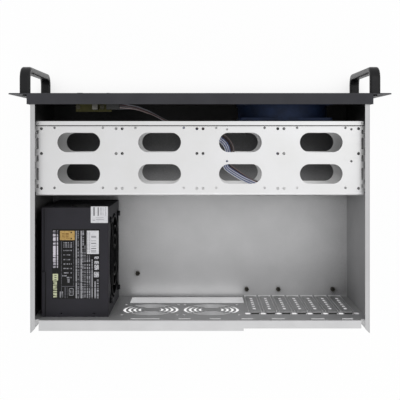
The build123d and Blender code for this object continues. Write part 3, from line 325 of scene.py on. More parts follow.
class SC_OT_camera(bpy.types.Operator):
    """Place the camera straight above the case"""

    bl_idname = "server_case.camera"
    bl_label = "Camera"

    def execute(self, context):
        studio = context.scene.server_case_studio
        data = bpy.data.cameras.new("overhead_camera")
        data.sensor_width = 36
        data.lens = studio.lens
        # The photograph is cropped low, so the case stands below the optical axis
        data.shift_y = -0.155
        data.clip_start = mm(50)
        data.clip_end = 20
        camera = bpy.data.objects.new("overhead_camera", data)
        camera.location = (0, FRONT_FACE_Y + studio.camera_depth, studio.camera_height)
        camera.rotation_euler = (0, 0, math.pi)
        context.scene.collection.objects.link(camera)
        context.scene.camera = camera
        return {"FINISHED"}


# The ribbon's route from its plug on the connector board to its plug in the drive cage: X, depth and Z
LEAD_ROUTE = (
    (104.0, 15.5, 140.3), (90.0, 15.5, 140.3), (72.0, 20.0, 133.0), (57.0, 27.5, 119.0), (43.0, 35.5, 104.4),
    (24.0, 43.0, 93.2), (2.0, 49.0, 87.0), (-20.0, 53.5, 84.0), (-34.5, 63.0, 83.0), (-39.5, 77.0, 83.0),
    (-32.0, 94.5, 83.0), (-47.0, 105.0, 83.0), (-64.0, 114.5, 82.5), (-84.0, 122.0, 82.0),
    (-100.0, 111.0, 81.2), (-105.0, 90.0, 82.0), (-105.0, 68.0, 84.2),
)
# The ribbon's front end is grey up to this X: partly a sleeve, partly painted shade
SLEEVE_END = 38.0
# How far the ribbon is turned on its edge at each point of the route, in degrees
LEAD_ROLL = (0, 45, 65, 70, 65, 45, 25, 10, 10, 10, 0, 0, 0, 0, 0, 0, 0)


def route_points(name, corners):
    """Even points along the NURBS line through the route's corners."""
    curve = bpy.data.curves.new(name, "CURVE")
    curve.dimensions = "3D"
    curve.resolution_u = 12
    spline = curve.splines.new("NURBS")
    spline.points.add(len(corners) - 1)
    for point, corner in zip(spline.points, corners):
        point.co = (*corner, 1.0)
    spline.order_u = 3
    spline.use_endpoint_u = True
    holder = bpy.data.objects.new(name, curve)
    mesh = bpy.data.meshes.new_from_object(holder)
    points = [vertex.co.copy() for vertex in mesh.vertices]
    bpy.data.objects.remove(holder)
    bpy.data.curves.remove(curve)
    bpy.data.meshes.remove(mesh)
    return points


def roll_at(points, corners, rolls):
    """Roll of each point, read from the corner that it is nearest to along the route."""
    reach = [0.0]
    for before, after in zip(corners, corners[1:]):
        reach.append(reach[-1] + (after - before).length)
    run = [0.0]
    for before, after in zip(points, points[1:]):
        run.append(run[-1] + (after - before).length)
    turned = []
    for distance in run:
        share = distance / run[-1] * reach[-1]
        index = max(i for i in range(len(reach) - 1) if reach[i] <= share + 1e-9)
        part = min(1.0, (share - reach[index]) / (reach[index + 1] - reach[index]))
        part = part * part * (3 - 2 * part)
        turned.append(math.radians(rolls[index] + (rolls[index + 1] - rolls[index]) * part))
    return turned


def frames_along(points, rolls):
    """Side and up directions at each point: flat where the roll is zero."""
    frames = []
    for index, point in enumerate(points):
        before = points[max(index - 1, 0)]
        after = points[min(index + 1, len(points) - 1)]
        along = (after - before).normalized()
        side = along.cross(Vector((0, 0, 1))).normalized()
        up = side.cross(along)
        turn = Matrix.Rotation(rolls[index], 3, along)
        frames.append((turn @ side, turn @ up))
    return frames


def add_strand(bm, points, frames, radius, shifts, material, sleeved=0, sleeve=0):
    """Add a closed tube along the points, shifted sideways and upwards; its first rings lie in a sleeve."""
    sides = 8
    rings = []
    for point, (side, up), (aside, above) in zip(points, frames, shifts):
        middle = point + side * aside + up * above
        ring = []
        for corner in range(sides):
            turn = 2 * math.pi * corner / sides
            spoke = side * (radius * math.cos(turn)) + up * (radius * math.sin(turn))
            ring.append(bm.verts.new(middle + spoke))
        rings.append(ring)
    bm.faces.new(reversed(rings[0])).material_index = material
    bm.faces.new(rings[-1]).material_index = material
    for number, (first, second) in enumerate(zip(rings, rings[1:])):
        for corner in range(sides):
            after = (corner + 1) % sides
            face = bm.faces.new((first[corner], first[after], second[after], second[corner]))
            face.material_index = sleeve if number < sleeved else material


def finished_mesh(name, bm, materials, smooth=True):
    """Turn a bmesh into a mesh with its materials."""
    bmesh.ops.recalc_face_normals(bm, faces=bm.faces)
    mesh = bpy.data.meshes.new(name)
    bm.to_mesh(mesh)
    bm.free()
    for material in materials:
        mesh.materials.append(material)
    if smooth:
        shade_smooth(mesh)
    return mesh


class SC_OT_lead(bpy.types.Operator):
    """Lay the front ribbon lead and its two loose wires"""

    bl_idname = "server_case.lead"
    bl_label = "Front lead"

    def execute(self, context):
        lead = context.scene.server_case_lead
        corners = [place(*corner) for corner in LEAD_ROUTE]
        points = route_points("ribbon_route", corners)
        rolls = roll_at(points, corners, LEAD_ROLL)
        frames = frames_along(points, rolls)
        blue = insulation("ribbon_pvc_blue", "#5164a4", "#6577b2")
        white = insulation("ribbon_pvc_white", "#fafbff", "#f0f2fb")
        sleeve = insulation("ribbon_sleeve_and_painted_shade_grey", "#5e5e64", "#6c6c72")
        sleeved = sum(1 for point in points if point.x > mm(SLEEVE_END))
        bm = bmesh.new()
        # The blue wires are a little thinner than the white ones
        strand_radii = (lead.pitch * 0.44, lead.pitch * 0.6)
        for wire in range(lead.conductors):
            aside = (wire - (lead.conductors - 1) / 2) * lead.pitch
            shifts = [(aside, 0)] * len(points)
            kind = wire % 2
            add_strand(bm, points, frames, strand_radii[kind], shifts, kind, sleeved=sleeved, sleeve=2)
        mesh = finished_mesh("front_ribbon", bm, (blue, white, sleeve))
        ribbon = as_piece("front_ribbon", mesh)
        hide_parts("panel_lead")
        # The loose pair starts on top of the ribbon and drifts to its outer side
        for name, start, drift, rise, colours in (
            ("loose_wire_red", -1.6, -5.4, 1.4, ("#3a1715", "#45201c")),
            ("loose_wire_white", 1.6, -8.4, 1.5, ("#a2908f", "#948483")),
        ):
            shifts = []
            for index in range(len(points)):
                spread = self.spread(index / (len(points) - 1))
                shifts.append((mm(start + (drift - start) * spread), mm(rise * (1 - 0.8 * spread))))
            bm = bmesh.new()
            add_strand(bm, points, frames, lead.wire / 2, shifts, 0)
            mesh = finished_mesh(name, bm, (insulation(name + "_pvc", *colours),))
            wire = as_piece(name, mesh)
        return {"FINISHED"}

    def spread(self, part):
        """How far a loose wire has left the ribbon, from 0 at both plugs to 1 midway."""
        free_from, free_to = 0.12, 0.88
        if not free_from < part < free_to:
            return 0.0
        return math.sin(math.pi * (part - free_from) / (free_to - free_from)) ** 0.7


class SC_OT_finishes(bpy.types.Operator):
    """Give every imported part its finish"""

    bl_idname = "server_case.finishes"
    bl_label = "Finishes"

    def execute(self, context):
        case = context.scene.server_case
        # The tray's dull colour #4a4a4b is painted shade, under the shelves and where the floor is closed in
        tray = zinc_sheet("galvanised_tray_steel", case.tray_zinc, "#b3b3b4", 0.42, 0.47, "#4a4a4b", 0.7)
        panel = zinc_sheet("galvanised_rear_steel", "#c4c4c5", "#bebebf", 0.40, 0.46, metal=0.6)
        shelf = zinc_sheet("galvanised_shelf_steel", case.shelf_zinc, "#cecece", 0.36, 0.40)
        # Painted light: the lower shelf's zinc is paler than the upper shelf's, to lift it in the upper
        # shelf's shade
        low_shelf = zinc_sheet("galvanised_low_shelf_steel", "#dedede", "#d8d8d8", 0.36, 0.40)
        front = powder_coat("powder_coated_front", case.front_black, "#3d3d41", 0.8, 0.5, index=1.25)
        # The bulkhead and connector bracket are near black, far darker than the front's paint: partly their
        # black paint, partly painted shade in the deep gap behind the front
        inner = powder_coat("bulkhead_paint_and_painted_shade", "#060606", "#090909", 1.0, 0.6)
        handle = powder_coat("painted_handle", "#161618", "#1c1c1e", 1.2, 0.34, 0.1, index=1.3)
        supply = powder_coat("powder_coated_supply", case.supply_black, "#2b2a30", 1.0, 0.55, index=1.28)
        fan = moulded_plastic("pbt_fan_plastic", "#152036", "#1b2945", 0.6, index=1.3)
        blades = moulded_plastic("pbt_blade_plastic", "#050607", "#08090b", 0.45, index=1.3)
        black = moulded_plastic("nylon_connector_black", "#121212", "#19191a", 0.42)
        gloss = moulded_plastic("abs_button_black", "#101010", "#151515", 0.18)
        rubber = moulded_plastic("rubber_bush_black", "#0d0d0d", "#131313", 0.7)
        lens = moulded_plastic("acrylic_lens", "#c2ccbc", "#ccd6c6", 0.15)
        board = circuit_board("solder_masked_board")
        shell = plated_metal("nickel_plated_shell", "#6b6a66", "#5a5955", 0.34)
        board_screw = plated_metal("dull_board_screw", "#4e4c42", "#3f3d35", 0.4, 2.0)
        screw = plated_metal("zinc_plated_screw", "#b3b4b6", "#9c9d9f", 0.30, 2.0)
        dark_screw = plated_metal("black_oxide_screw", "#3c3c3e", "#2c2c2e", 0.35, 2.0)
        # The standoffs' brass is given a dark grey-brown
        brass = plated_metal("dark_brass", "#46433b", "#383630", 0.42, 2.0)
        # The slot retainer is near black: partly its paint, partly painted shade in the windows under the
        # rear wall's top flange
        retainer = powder_coat("retainer_paint_and_painted_shade", "#0c0c0c", "#111111", 0.9, 0.5)
        finishes = {
            "chassis_tray": tray, "front_bulkhead": inner, "io_bracket": inner, "rear_panel": panel,
            "panel_spacers": screw, "drive_shelf_lower": low_shelf, "drive_shelf_upper": shelf,
            "front_panel": front, "handle_left": handle, "handle_right": handle,
            "handle_screws": dark_screw, "front_fan_frame": fan, "psu_fan_frame": blades,
            "front_fan_rotor": blades, "psu_fan_rotor": blades, "psu_cover": supply, "psu_shell": supply,
            "psu_inlet": black, "psu_switch_body": black, "psu_rocker": gloss, "psu_lead_bush": rubber,
            "psu_screws": dark_screw, "psu_fan_screws": dark_screw, "front_fan_screws": screw,
            "shelf_screws": screw, "slot_screws": screw, "io_board_screws": board_screw,
            "io_board": board, "usb_socket": shell, "power_button": gloss, "reset_button": gloss,
            "power_switch": black, "reset_switch": black, "status_leds": lens, "lead_header": black,
            "lead_header_plug": black, "lead_end_plug": black, "slot_retainer": retainer,
            "board_standoffs": brass,
        }
        for number in range(1, SLOT_COUNT + 1):
            finishes[f"slot_cover_{number}"] = panel
        for node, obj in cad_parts.items():
            finish = finishes.get(node)
            if finish is None:
                continue
            obj.data.materials.clear()
            obj.data.materials.append(finish)
        return {"FINISHED"}


class SC_OT_studio(bpy.types.Operator):
    """Build the pale floor, the even sky and the soft boxes"""

    bl_idname = "server_case.studio"
    bl_label = "Studio"

    def execute(self, context):
        studio = context.scene.server_case_studio
        mesh = bpy.data.meshes.new("paper_floor")
        half = 3.0
        mesh.from_pydata(
            [(-half, -half, 0), (half, -half, 0), (half, half, 0), (-half, half, 0)], [], [(0, 1, 2, 3)])
        floor = bpy.data.objects.new("paper_floor", mesh)
        # Just under the case, so the two faces don't flicker
        floor.location.z = mm(-0.2)
        context.scene.collection.objects.link(floor)
        material = bpy.data.materials.new("white_paper_sweep")
        material.use_nodes = True
        tree = material.node_tree
        tree.nodes.clear()
        glow = add_node(tree, "ShaderNodeEmission", {"Strength": 1.0})
        # Painted shadow: the paper is coloured dark under the slots, and its glow fades in the shade close
        # round the case
        where = add_node(tree, "ShaderNodeTexCoord").outputs["Object"]
        spot = add_node(tree, "ShaderNodeSeparateXYZ", {"Vector": where})
        shade_end = FRONT_FACE_Y + mm(309)
        clear_of_painted_shade = ramp(tree, spot.outputs["Y"], 1.0, 0.0, FRONT_FACE_Y + mm(4), FRONT_FACE_Y + mm(8))
        lee = add_node(tree, "ShaderNodeAmbientOcclusion", {"Distance": mm(50)}, samples=8)
        lit = ramp(tree, lee.outputs["AO"], 0.72, 0.97, 0.35, 0.8)
        for axis, low, high in (
            ("X", mm(-62), mm(-58)), ("X", mm(-214), mm(-216)), ("Y", shade_end - mm(16), shade_end),
        ):
            side = ramp(tree, spot.outputs[axis], 0.0, 1.0, low, high)
            clear_of_painted_shade = add_node(
                tree, "ShaderNodeMath", {0: clear_of_painted_shade, 1: side}, operation="MAXIMUM").outputs[0]
        lit = add_node(tree, "ShaderNodeMath", {0: lit, 1: clear_of_painted_shade}, operation="MULTIPLY").outputs[0]
        paper = add_node(tree, "ShaderNodeBsdfDiffuse", {"Color": tint(tree, clear_of_painted_shade, "#3c3c3c", "#f4f4f4")})
        share = add_node(
            tree, "ShaderNodeMath", {0: direct_view(tree), 1: lit}, operation="MULTIPLY").outputs[0]
        both = add_node(tree, "ShaderNodeMixShader", {0: share, 1: paper.outputs[0], 2: glow.outputs[0]})
        add_node(tree, "ShaderNodeOutputMaterial", {"Surface": both.outputs[0]})
        mesh.materials.append(material)

        world = bpy.data.worlds.new("even_sky")
        context.scene.world = world
        world.use_nodes = True
        tree = world.node_tree
        tree.nodes.clear()
        strength = add_node(
            tree, "ShaderNodeMapRange", {"Value": direct_view(tree), "To Min": studio.sky, "To Max": 1.0}
        ).outputs["Result"]
        sky = add_node(tree, "ShaderNodeBackground", {"Color": (1, 1, 1, 1), "Strength": strength})
        add_node(tree, "ShaderNodeOutputWorld", {"Surface": sky.outputs[0]})

        for name, power, size, spot in (
            ("side_soft_box", studio.side_box, 1.0, Vector((-0.65, -0.6, 2.4))),
            ("rear_soft_box", studio.rear_box, 0.7, Vector((-0.15, 1.0, 2.3))),
        ):
            data = bpy.data.lights.new(name, "AREA")
            data.size = size
            data.energy = power
            lamp = bpy.data.objects.new(name, data)
            lamp.location = spot
            lamp.rotation_euler = (Vector((0, 0, 0.1)) - spot).to_track_quat("-Z", "Y").to_euler()
            context.scene.collection.objects.link(lamp)

        context.scene.view_settings.view_transform = "Standard"
        return {"FINISHED"}


# Plates of the power supply's labels and of the painted shadow along its cover's seam: x from, x to, depth
# from, depth to, layer, material
LABELS = (
    (140.0, 118.1, 144.4, 165.5, 0, "paper"), (136.6, 135.1, 145.3, 156.4, 1, "bar"),
    (131.1, 129.9, 145.3, 156.4, 1, "bar"), (128.0, 127.2, 145.3, 156.4, 1, "faint"),
    (126.6, 125.9, 145.3, 156.4, 1, "faint"), (124.6, 123.9, 145.3, 156.4, 1, "faint"),
    (121.4, 120.4, 145.3, 156.4, 1, "faint"), (133.8, 123.1, 158.5, 159.5, 1, "faint"),
    (133.8, 123.1, 160.8, 161.8, 1, "faint"), (137.8, 134.7, 161.3, 162.6, 1, "faint"),
    (189.4, 128.4, 173.3, 262.7, 0, "field"), (188.4, 185.0, 175.4, 222.9, 1, "title"),
    (183.5, 182.0, 175.4, 222.9, 1, "title"), (188.8, 182.0, 230.7, 239.4, 1, "yellow"),
    (186.8, 183.8, 232.3, 233.1, 2, "field"), (186.8, 183.8, 234.9, 235.7, 2, "field"),
    (186.8, 183.8, 237.5, 238.2, 2, "field"), (188.2, 183.4, 240.3, 261.7, 1, "yellow_print"),
    (179.5, 160.7, 175.6, 187.5, 1, "gold"), (177.1, 167.9, 178.7, 179.6, 2, "gold_mark"),
    (177.1, 167.9, 180.6, 181.4, 2, "gold_mark"), (177.1, 167.9, 182.5, 183.3, 2, "gold_mark"),
    (177.1, 167.9, 184.3, 185.2, 2, "gold_mark"), (165.8, 164.2, 176.7, 178.4, 2, "field"),
    (165.8, 164.2, 184.6, 186.3, 2, "field"), (178.0, 177.3, 189.0, 261.9, 1, "faded"),
    (162.4, 161.7, 188.6, 245.9, 1, "faded"), (178.0, 160.9, 246.5, 247.3, 1, "faded"),
    (175.0, 164.1, 190.3, 191.7, 1, "row"), (175.0, 164.1, 193.1, 194.5, 1, "row"),
    (175.0, 164.1, 195.6, 197.0, 1, "row"), (175.0, 164.1, 200.1, 201.5, 1, "row"),
    (175.0, 164.1, 205.8, 207.2, 1, "row"), (175.0, 164.1, 211.8, 213.2, 1, "row"),
    (175.0, 164.1, 217.4, 218.8, 1, "row"), (175.0, 164.1, 223.2, 224.6, 1, "row"),
    (175.0, 164.1, 228.8, 230.2, 1, "row"), (176.6, 170.8, 232.6, 233.9, 1, "row"),
    (170.8, 164.5, 234.7, 236.2, 1, "row"), (170.1, 166.5, 237.0, 242.2, 1, "row"),
    (173.5, 172.2, 247.8, 261.9, 1, "faded"), (170.5, 169.9, 247.8, 261.9, 1, "faded"),
    (167.9, 162.1, 249.3, 250.0, 1, "line"), (167.9, 162.1, 257.8, 258.5, 1, "line"),
    (167.9, 167.3, 249.3, 258.5, 1, "line"), (162.8, 162.1, 249.3, 258.5, 1, "line"),
    (166.1, 163.9, 251.8, 256.1, 1, "row"), (179.7, 175.5, 253.5, 261.2, 1, "row"),
    (159.3, 158.0, 175.4, 262.1, 1, "line"), (156.8, 155.6, 175.4, 262.1, 1, "print"),
    (153.0, 151.5, 175.4, 262.1, 1, "line"), (150.8, 148.8, 175.4, 195.2, 1, "print"),
    (150.8, 149.5, 196.6, 262.1, 1, "print"), (148.1, 146.8, 193.8, 262.1, 1, "print"),
    (154.7, 154.0, 200.8, 262.1, 1, "faded"), (145.1, 129.7, 175.4, 205.3, 1, "paper"),
    (139.7, 133.0, 182.4, 183.0, 2, "bar"), (139.7, 133.0, 183.7, 184.2, 2, "bar"),
    (139.7, 133.0, 188.2, 188.6, 2, "bar"), (139.7, 133.0, 191.1, 192.0, 2, "bar"),
    (139.7, 133.0, 195.0, 195.4, 2, "bar"), (139.7, 133.0, 197.8, 198.7, 2, "bar"),
    (139.7, 133.0, 200.9, 201.7, 2, "bar"), (139.7, 133.0, 202.7, 203.1, 2, "bar"),
    (144.7, 143.2, 176.5, 204.1, 2, "faint"), (142.3, 141.0, 176.5, 204.1, 2, "faint"),
    (145.1, 143.6, 207.4, 262.1, 1, "print"), (142.4, 141.0, 207.4, 262.1, 1, "print"),
    (138.9, 137.7, 212.1, 262.1, 1, "line"), (140.6, 139.9, 224.3, 262.1, 1, "faded"),
    (135.3, 129.8, 208.6, 211.8, 1, "icon"), (135.3, 129.8, 214.3, 218.0, 1, "icon"),
    (135.3, 129.8, 219.1, 225.6, 1, "icon"), (136.0, 129.7, 228.3, 235.1, 1, "icon"),
    (135.3, 133.6, 240.3, 262.1, 1, "line"), (132.3, 129.9, 238.0, 262.1, 1, "print"),
    (200.4, 199.3, 146.0, 227.6, 0, "seam"), (198.7, 197.6, 228.4, 288.0, 0, "seam"),
    (202.6, 198.7, 226.6, 228.4, 0, "seam"),
)


class SC_OT_labels(bpy.types.Operator):
    """Stick the plain printed labels on the power supply, and the painted shadow along its cover's seam"""

    bl_idname = "server_case.labels"
    bl_label = "Supply labels"

    def execute(self, context):
        stocks = {
            "paper": printed_stock("white_vinyl_label", "#d9d9dc", "#d2d2d6", 3.0, 0.5),
            "field": printed_stock("black_print_field", "#060607", "#09090a", 2.0, 0.5, rough=0.4),
            "title": printed_stock("white_ink", "#d9d4de", "#4a4850", 1.1, 0.52, (0.05, 1, 1)),
            "yellow": printed_stock("pale_yellow_ink", "#cfd3b0", "#c6cba4", 1.2, 0.6),
            "yellow_print": printed_stock("pale_yellow_print", "#cdd1ae", "#34352a", 1.3, 0.50, (0.05, 1, 1)),
            "gold": printed_stock("gold_ink", "#bb9a5e", "#a98a50", 2.4, 0.55),
            "gold_mark": printed_stock("brown_ink", "#6a4a22", "#a98a50", 1.2, 0.5, (1, 0.05, 1)),
            "bar": printed_stock("grey_ink", "#4c4c50", "#5c5c60", 1.5, 0.55),
            "faint": printed_stock("pale_grey_ink", "#a9a9ae", "#c9c9cd", 1.0, 0.50, (0.05, 1, 1)),
            "line": printed_stock("light_grey_ink", "#a6a6ab", "#55555a", 1.6, 0.62, (0.05, 1, 1)),
            "faded": printed_stock("thin_grey_ink", "#5a5a60", "#3a3a3f", 1.6, 0.55, (0.05, 1, 1)),
            "print": printed_stock("broken_grey_ink", "#98989e", "#1c1c1f", 0.8, 0.50, (0.05, 1, 1)),
            "row": printed_stock("table_print", "#9c9ca2", "#141416", 0.9, 0.50, (1, 0.05, 1)),
            "icon": printed_stock("mark_print", "#c4c4c8", "#3a3a3e", 1.4, 0.56),
            "seam": printed_stock("seam_shadow", "#08080a", "#0b0b0d", 2.0, 0.5, rough=0.7),
        }
        order = list(stocks)
        bm = bmesh.new()
        base = SUPPLY_TOP_Z * 1000
        for x0, x1, y0, y1, layer, stock in LABELS:
            add_plate(bm, x0, x1, y0, y1, base + 0.01, base + 0.12 + 0.06 * layer, 0.5, order.index(stock))
        mesh = finished_mesh("supply_labels", bm, [stocks[name] for name in order], smooth=False)
        as_piece("supply_labels", mesh)
        return {"FINISHED"}


# Vents along the top of the rear wall: middle and length
TOP_VENTS = (
    (69.5, 36.4), (19.6, 15.2), (-19.3, 14.2), (-59.6, 14.7), (-99.2, 16.5), (-149.3, 16.8),
    (-187.1, 13.7),
)


class SC_OT_rims(bpy.types.Operator):
    """Form the rims round the slots and the lips of the top vents, both in a zinc with a painted highlight,
    and the painted shadow line behind the shelf's hem
    """

    bl_idname = "server_case.rims"
    bl_label = "Rims and lips"

    def execute(self, context):
        # Inner face of the rear wall, half a slot's width, and the rim's width and lower and upper ends
        wall = 286.05
        half = 8.7
        rim = 0.9
        rim_foot = 2.6
        rim_head = 116.0
        corner = 0.2
        bm = bmesh.new()
        for x in SLOT_XS:
            add_plate(bm, x - half, x + half, wall - 1.6, wall, rim_foot - rim, rim_foot + 0.4, corner)
            for side in (-1, 1):
                edge = x + side * (half - rim / 2)
                add_plate(bm, edge - rim / 2, edge + rim / 2, wall - rim, wall, rim_foot, rim_head, corner)
        for x, length in TOP_VENTS:
            add_plate(bm, x - length / 2, x + length / 2, wall - 1.0, wall, 166.6, 167.5, corner)
        # The painted shadow line lies along the whole front of the upper shelf
        shade = moulded_plastic("groove_shadow", "#0c0c0d", "#111112", 0.7, index=1.2)
        line = bmesh.new()
        add_plate(line, -209, 209, 40.42, 41.38, 161.52, 161.7, 0.1)
        groove = finished_mesh("hem_line", line, (shade,), smooth=False)
        as_piece("hem_line", groove)
        # Painted highlight: the rims and lips get a paler zinc than the rear panel, for the glint along their
        # folds
        bright = zinc_sheet("folded_edge_painted_highlight", "#f2f2f2", "#eaeaea", 0.34, 0.40)
        folds = finished_mesh("slot_rims", bm, (bright,), smooth=False)
        as_piece("slot_rims", folds)
        return {"FINISHED"}


def geometry_tree(name, inputs):
    """Geometry Nodes tree with its group input and the values that it takes."""
    tree = bpy.data.node_groups.new(name, "GeometryNodeTree")
    tree.interface.new_socket("Geometry", in_out="INPUT", socket_type="NodeSocketGeometry")
    for label, kind, value in inputs:
        socket = tree.interface.new_socket(label, in_out="INPUT", socket_type=kind)
        if value is not None:
            socket.default_value = value
    tree.interface.new_socket("Geometry", in_out="OUTPUT", socket_type="NodeSocketGeometry")
    return tree, tree.nodes.new("NodeGroupInput")


def mesh_from_tree(name, tree, values, verts=((0, 0, 0),)):
    """Run a tree on loose points and return the result as a plain mesh."""
    seed = bpy.data.meshes.new(name + "_points")
    seed.from_pydata([Vector(v) for v in verts], [], [])
    holder = bpy.data.objects.new(name, seed)
    bpy.context.scene.collection.objects.link(holder)
    modifier = holder.modifiers.new(name, "NODES")
    modifier.node_group = tree
    for item in tree.interface.items_tree:
        if item.in_out == "INPUT" and item.name in values:
            modifier[item.identifier] = values[item.name]
    evaluated = holder.evaluated_get(bpy.context.evaluated_depsgraph_get())
    mesh = bpy.data.meshes.new_from_object(evaluated)
    holder.modifiers.remove(modifier)
    bpy.data.objects.remove(holder)
    bpy.data.meshes.remove(seed)
    mesh.name = name
    return mesh


class SC_OT_guard(bpy.types.Operator):
    """Bend the wire guard over the power supply's fan"""

    bl_idname = "server_case.guard"
    bl_label = "Fan guard"

    def execute(self, context):
        dark_wire = plated_metal("black_plated_guard_wire", "#1b1b1d", "#141416", 0.34, 3.0)
        tree, given = geometry_tree("wire_guard", (
            ("Wire", "NodeSocketFloat", mm(0.8)), ("First ring", "NodeSocketFloat", mm(14.0)),
            ("Ring step", "NodeSocketFloat", mm(13.0)), ("Rings", "NodeSocketInt", 4),
            ("Screw pitch", "NodeSocketFloat", mm(105.0)), ("Eye", "NodeSocketFloat", mm(3.7)),
            ("Material", "NodeSocketMaterial", None),
        ))
        wire = given.outputs["Wire"]
        index = add_node(tree, "GeometryNodeInputIndex").outputs[0]
        step = add_node(
            tree, "ShaderNodeMath", {0: index, 1: given.outputs["Ring step"]}, operation="MULTIPLY")
        radius = add_node(
            tree, "ShaderNodeMath", {0: step.outputs[0], 1: given.outputs["First ring"]}, operation="ADD")
        centres = add_node(
            tree, "GeometryNodeMeshLine", {"Count": given.outputs["Rings"], "Offset": (0, 0, 0)})
        circle = add_node(tree, "GeometryNodeCurvePrimitiveCircle", {"Resolution": 64, "Radius": 1.0})
        rings = add_node(tree, "GeometryNodeInstanceOnPoints", {
            "Points": centres.outputs[0], "Instance": circle.outputs["Curve"], "Scale": radius.outputs[0]})
        corners = add_node(tree, "GeometryNodeMeshGrid", {
            "Size X": given.outputs["Screw pitch"], "Size Y": given.outputs["Screw pitch"],
            "Vertices X": 2, "Vertices Y": 2})
        eye = add_node(
            tree, "GeometryNodeCurvePrimitiveCircle", {"Resolution": 20, "Radius": given.outputs["Eye"]})
        eyes = add_node(tree, "GeometryNodeInstanceOnPoints", {
            "Points": corners.outputs["Mesh"], "Instance": eye.outputs["Curve"]})
        # An arm runs from the first ring to each eye
        reach = add_node(
            tree, "ShaderNodeMath", {0: given.outputs["Screw pitch"], 1: math.sqrt(0.5)},
            operation="MULTIPLY")
        arm_end = add_node(
            tree, "ShaderNodeMath", {0: reach.outputs[0], 1: given.outputs["Eye"]}, operation="SUBTRACT")
        start = add_node(tree, "ShaderNodeCombineXYZ", {"X": given.outputs["First ring"]})
        end = add_node(tree, "ShaderNodeCombineXYZ", {"X": arm_end.outputs[0]})
        arm = add_node(
            tree, "GeometryNodeCurvePrimitiveLine", {"Start": start.outputs[0], "End": end.outputs[0]})
        quarter = add_node(
            tree, "ShaderNodeMath", {0: index, 1: math.pi / 2, 2: math.pi / 4}, operation="MULTIPLY_ADD")
        turn = add_node(tree, "ShaderNodeCombineXYZ", {"Z": quarter.outputs[0]})
        hub = add_node(tree, "GeometryNodeMeshLine", {"Count": 4, "Offset": (0, 0, 0)})
        arms = add_node(tree, "GeometryNodeInstanceOnPoints", {
            "Points": hub.outputs[0], "Instance": arm.outputs["Curve"], "Rotation": turn.outputs[0]})
        joined = add_node(tree, "GeometryNodeJoinGeometry")
        for part in (rings, eyes, arms):
            tree.links.new(part.outputs[0], joined.inputs[0])
        real = add_node(tree, "GeometryNodeRealizeInstances", {"Geometry": joined.outputs[0]})
        profile = add_node(tree, "GeometryNodeCurvePrimitiveCircle", {"Resolution": 8, "Radius": wire})
        tube = add_node(tree, "GeometryNodeCurveToMesh", {
            "Curve": real.outputs[0], "Profile Curve": profile.outputs["Curve"], "Fill Caps": True})
        painted = add_node(tree, "GeometryNodeSetMaterial", {
            "Geometry": tube.outputs[0], "Material": given.outputs["Material"]})
        add_node(tree, "NodeGroupOutput", {"Geometry": painted.outputs[0]})
        mesh = mesh_from_tree("supply_fan_guard", tree, {"Material": dark_wire})
        low, high = (Vector(corner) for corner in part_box("psu_fan_guard"))
        centre = (low + high) / 2
        # The guard's flat lies in the plane of the supply's side
        mesh.transform(Matrix.Translation(centre) @ Matrix.Rotation(math.radians(90), 4, "Y"))
        shade_smooth(mesh, 60)
        guard = as_piece("supply_fan_guard", mesh)
        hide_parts("psu_fan_guard")
        return {"FINISHED"}


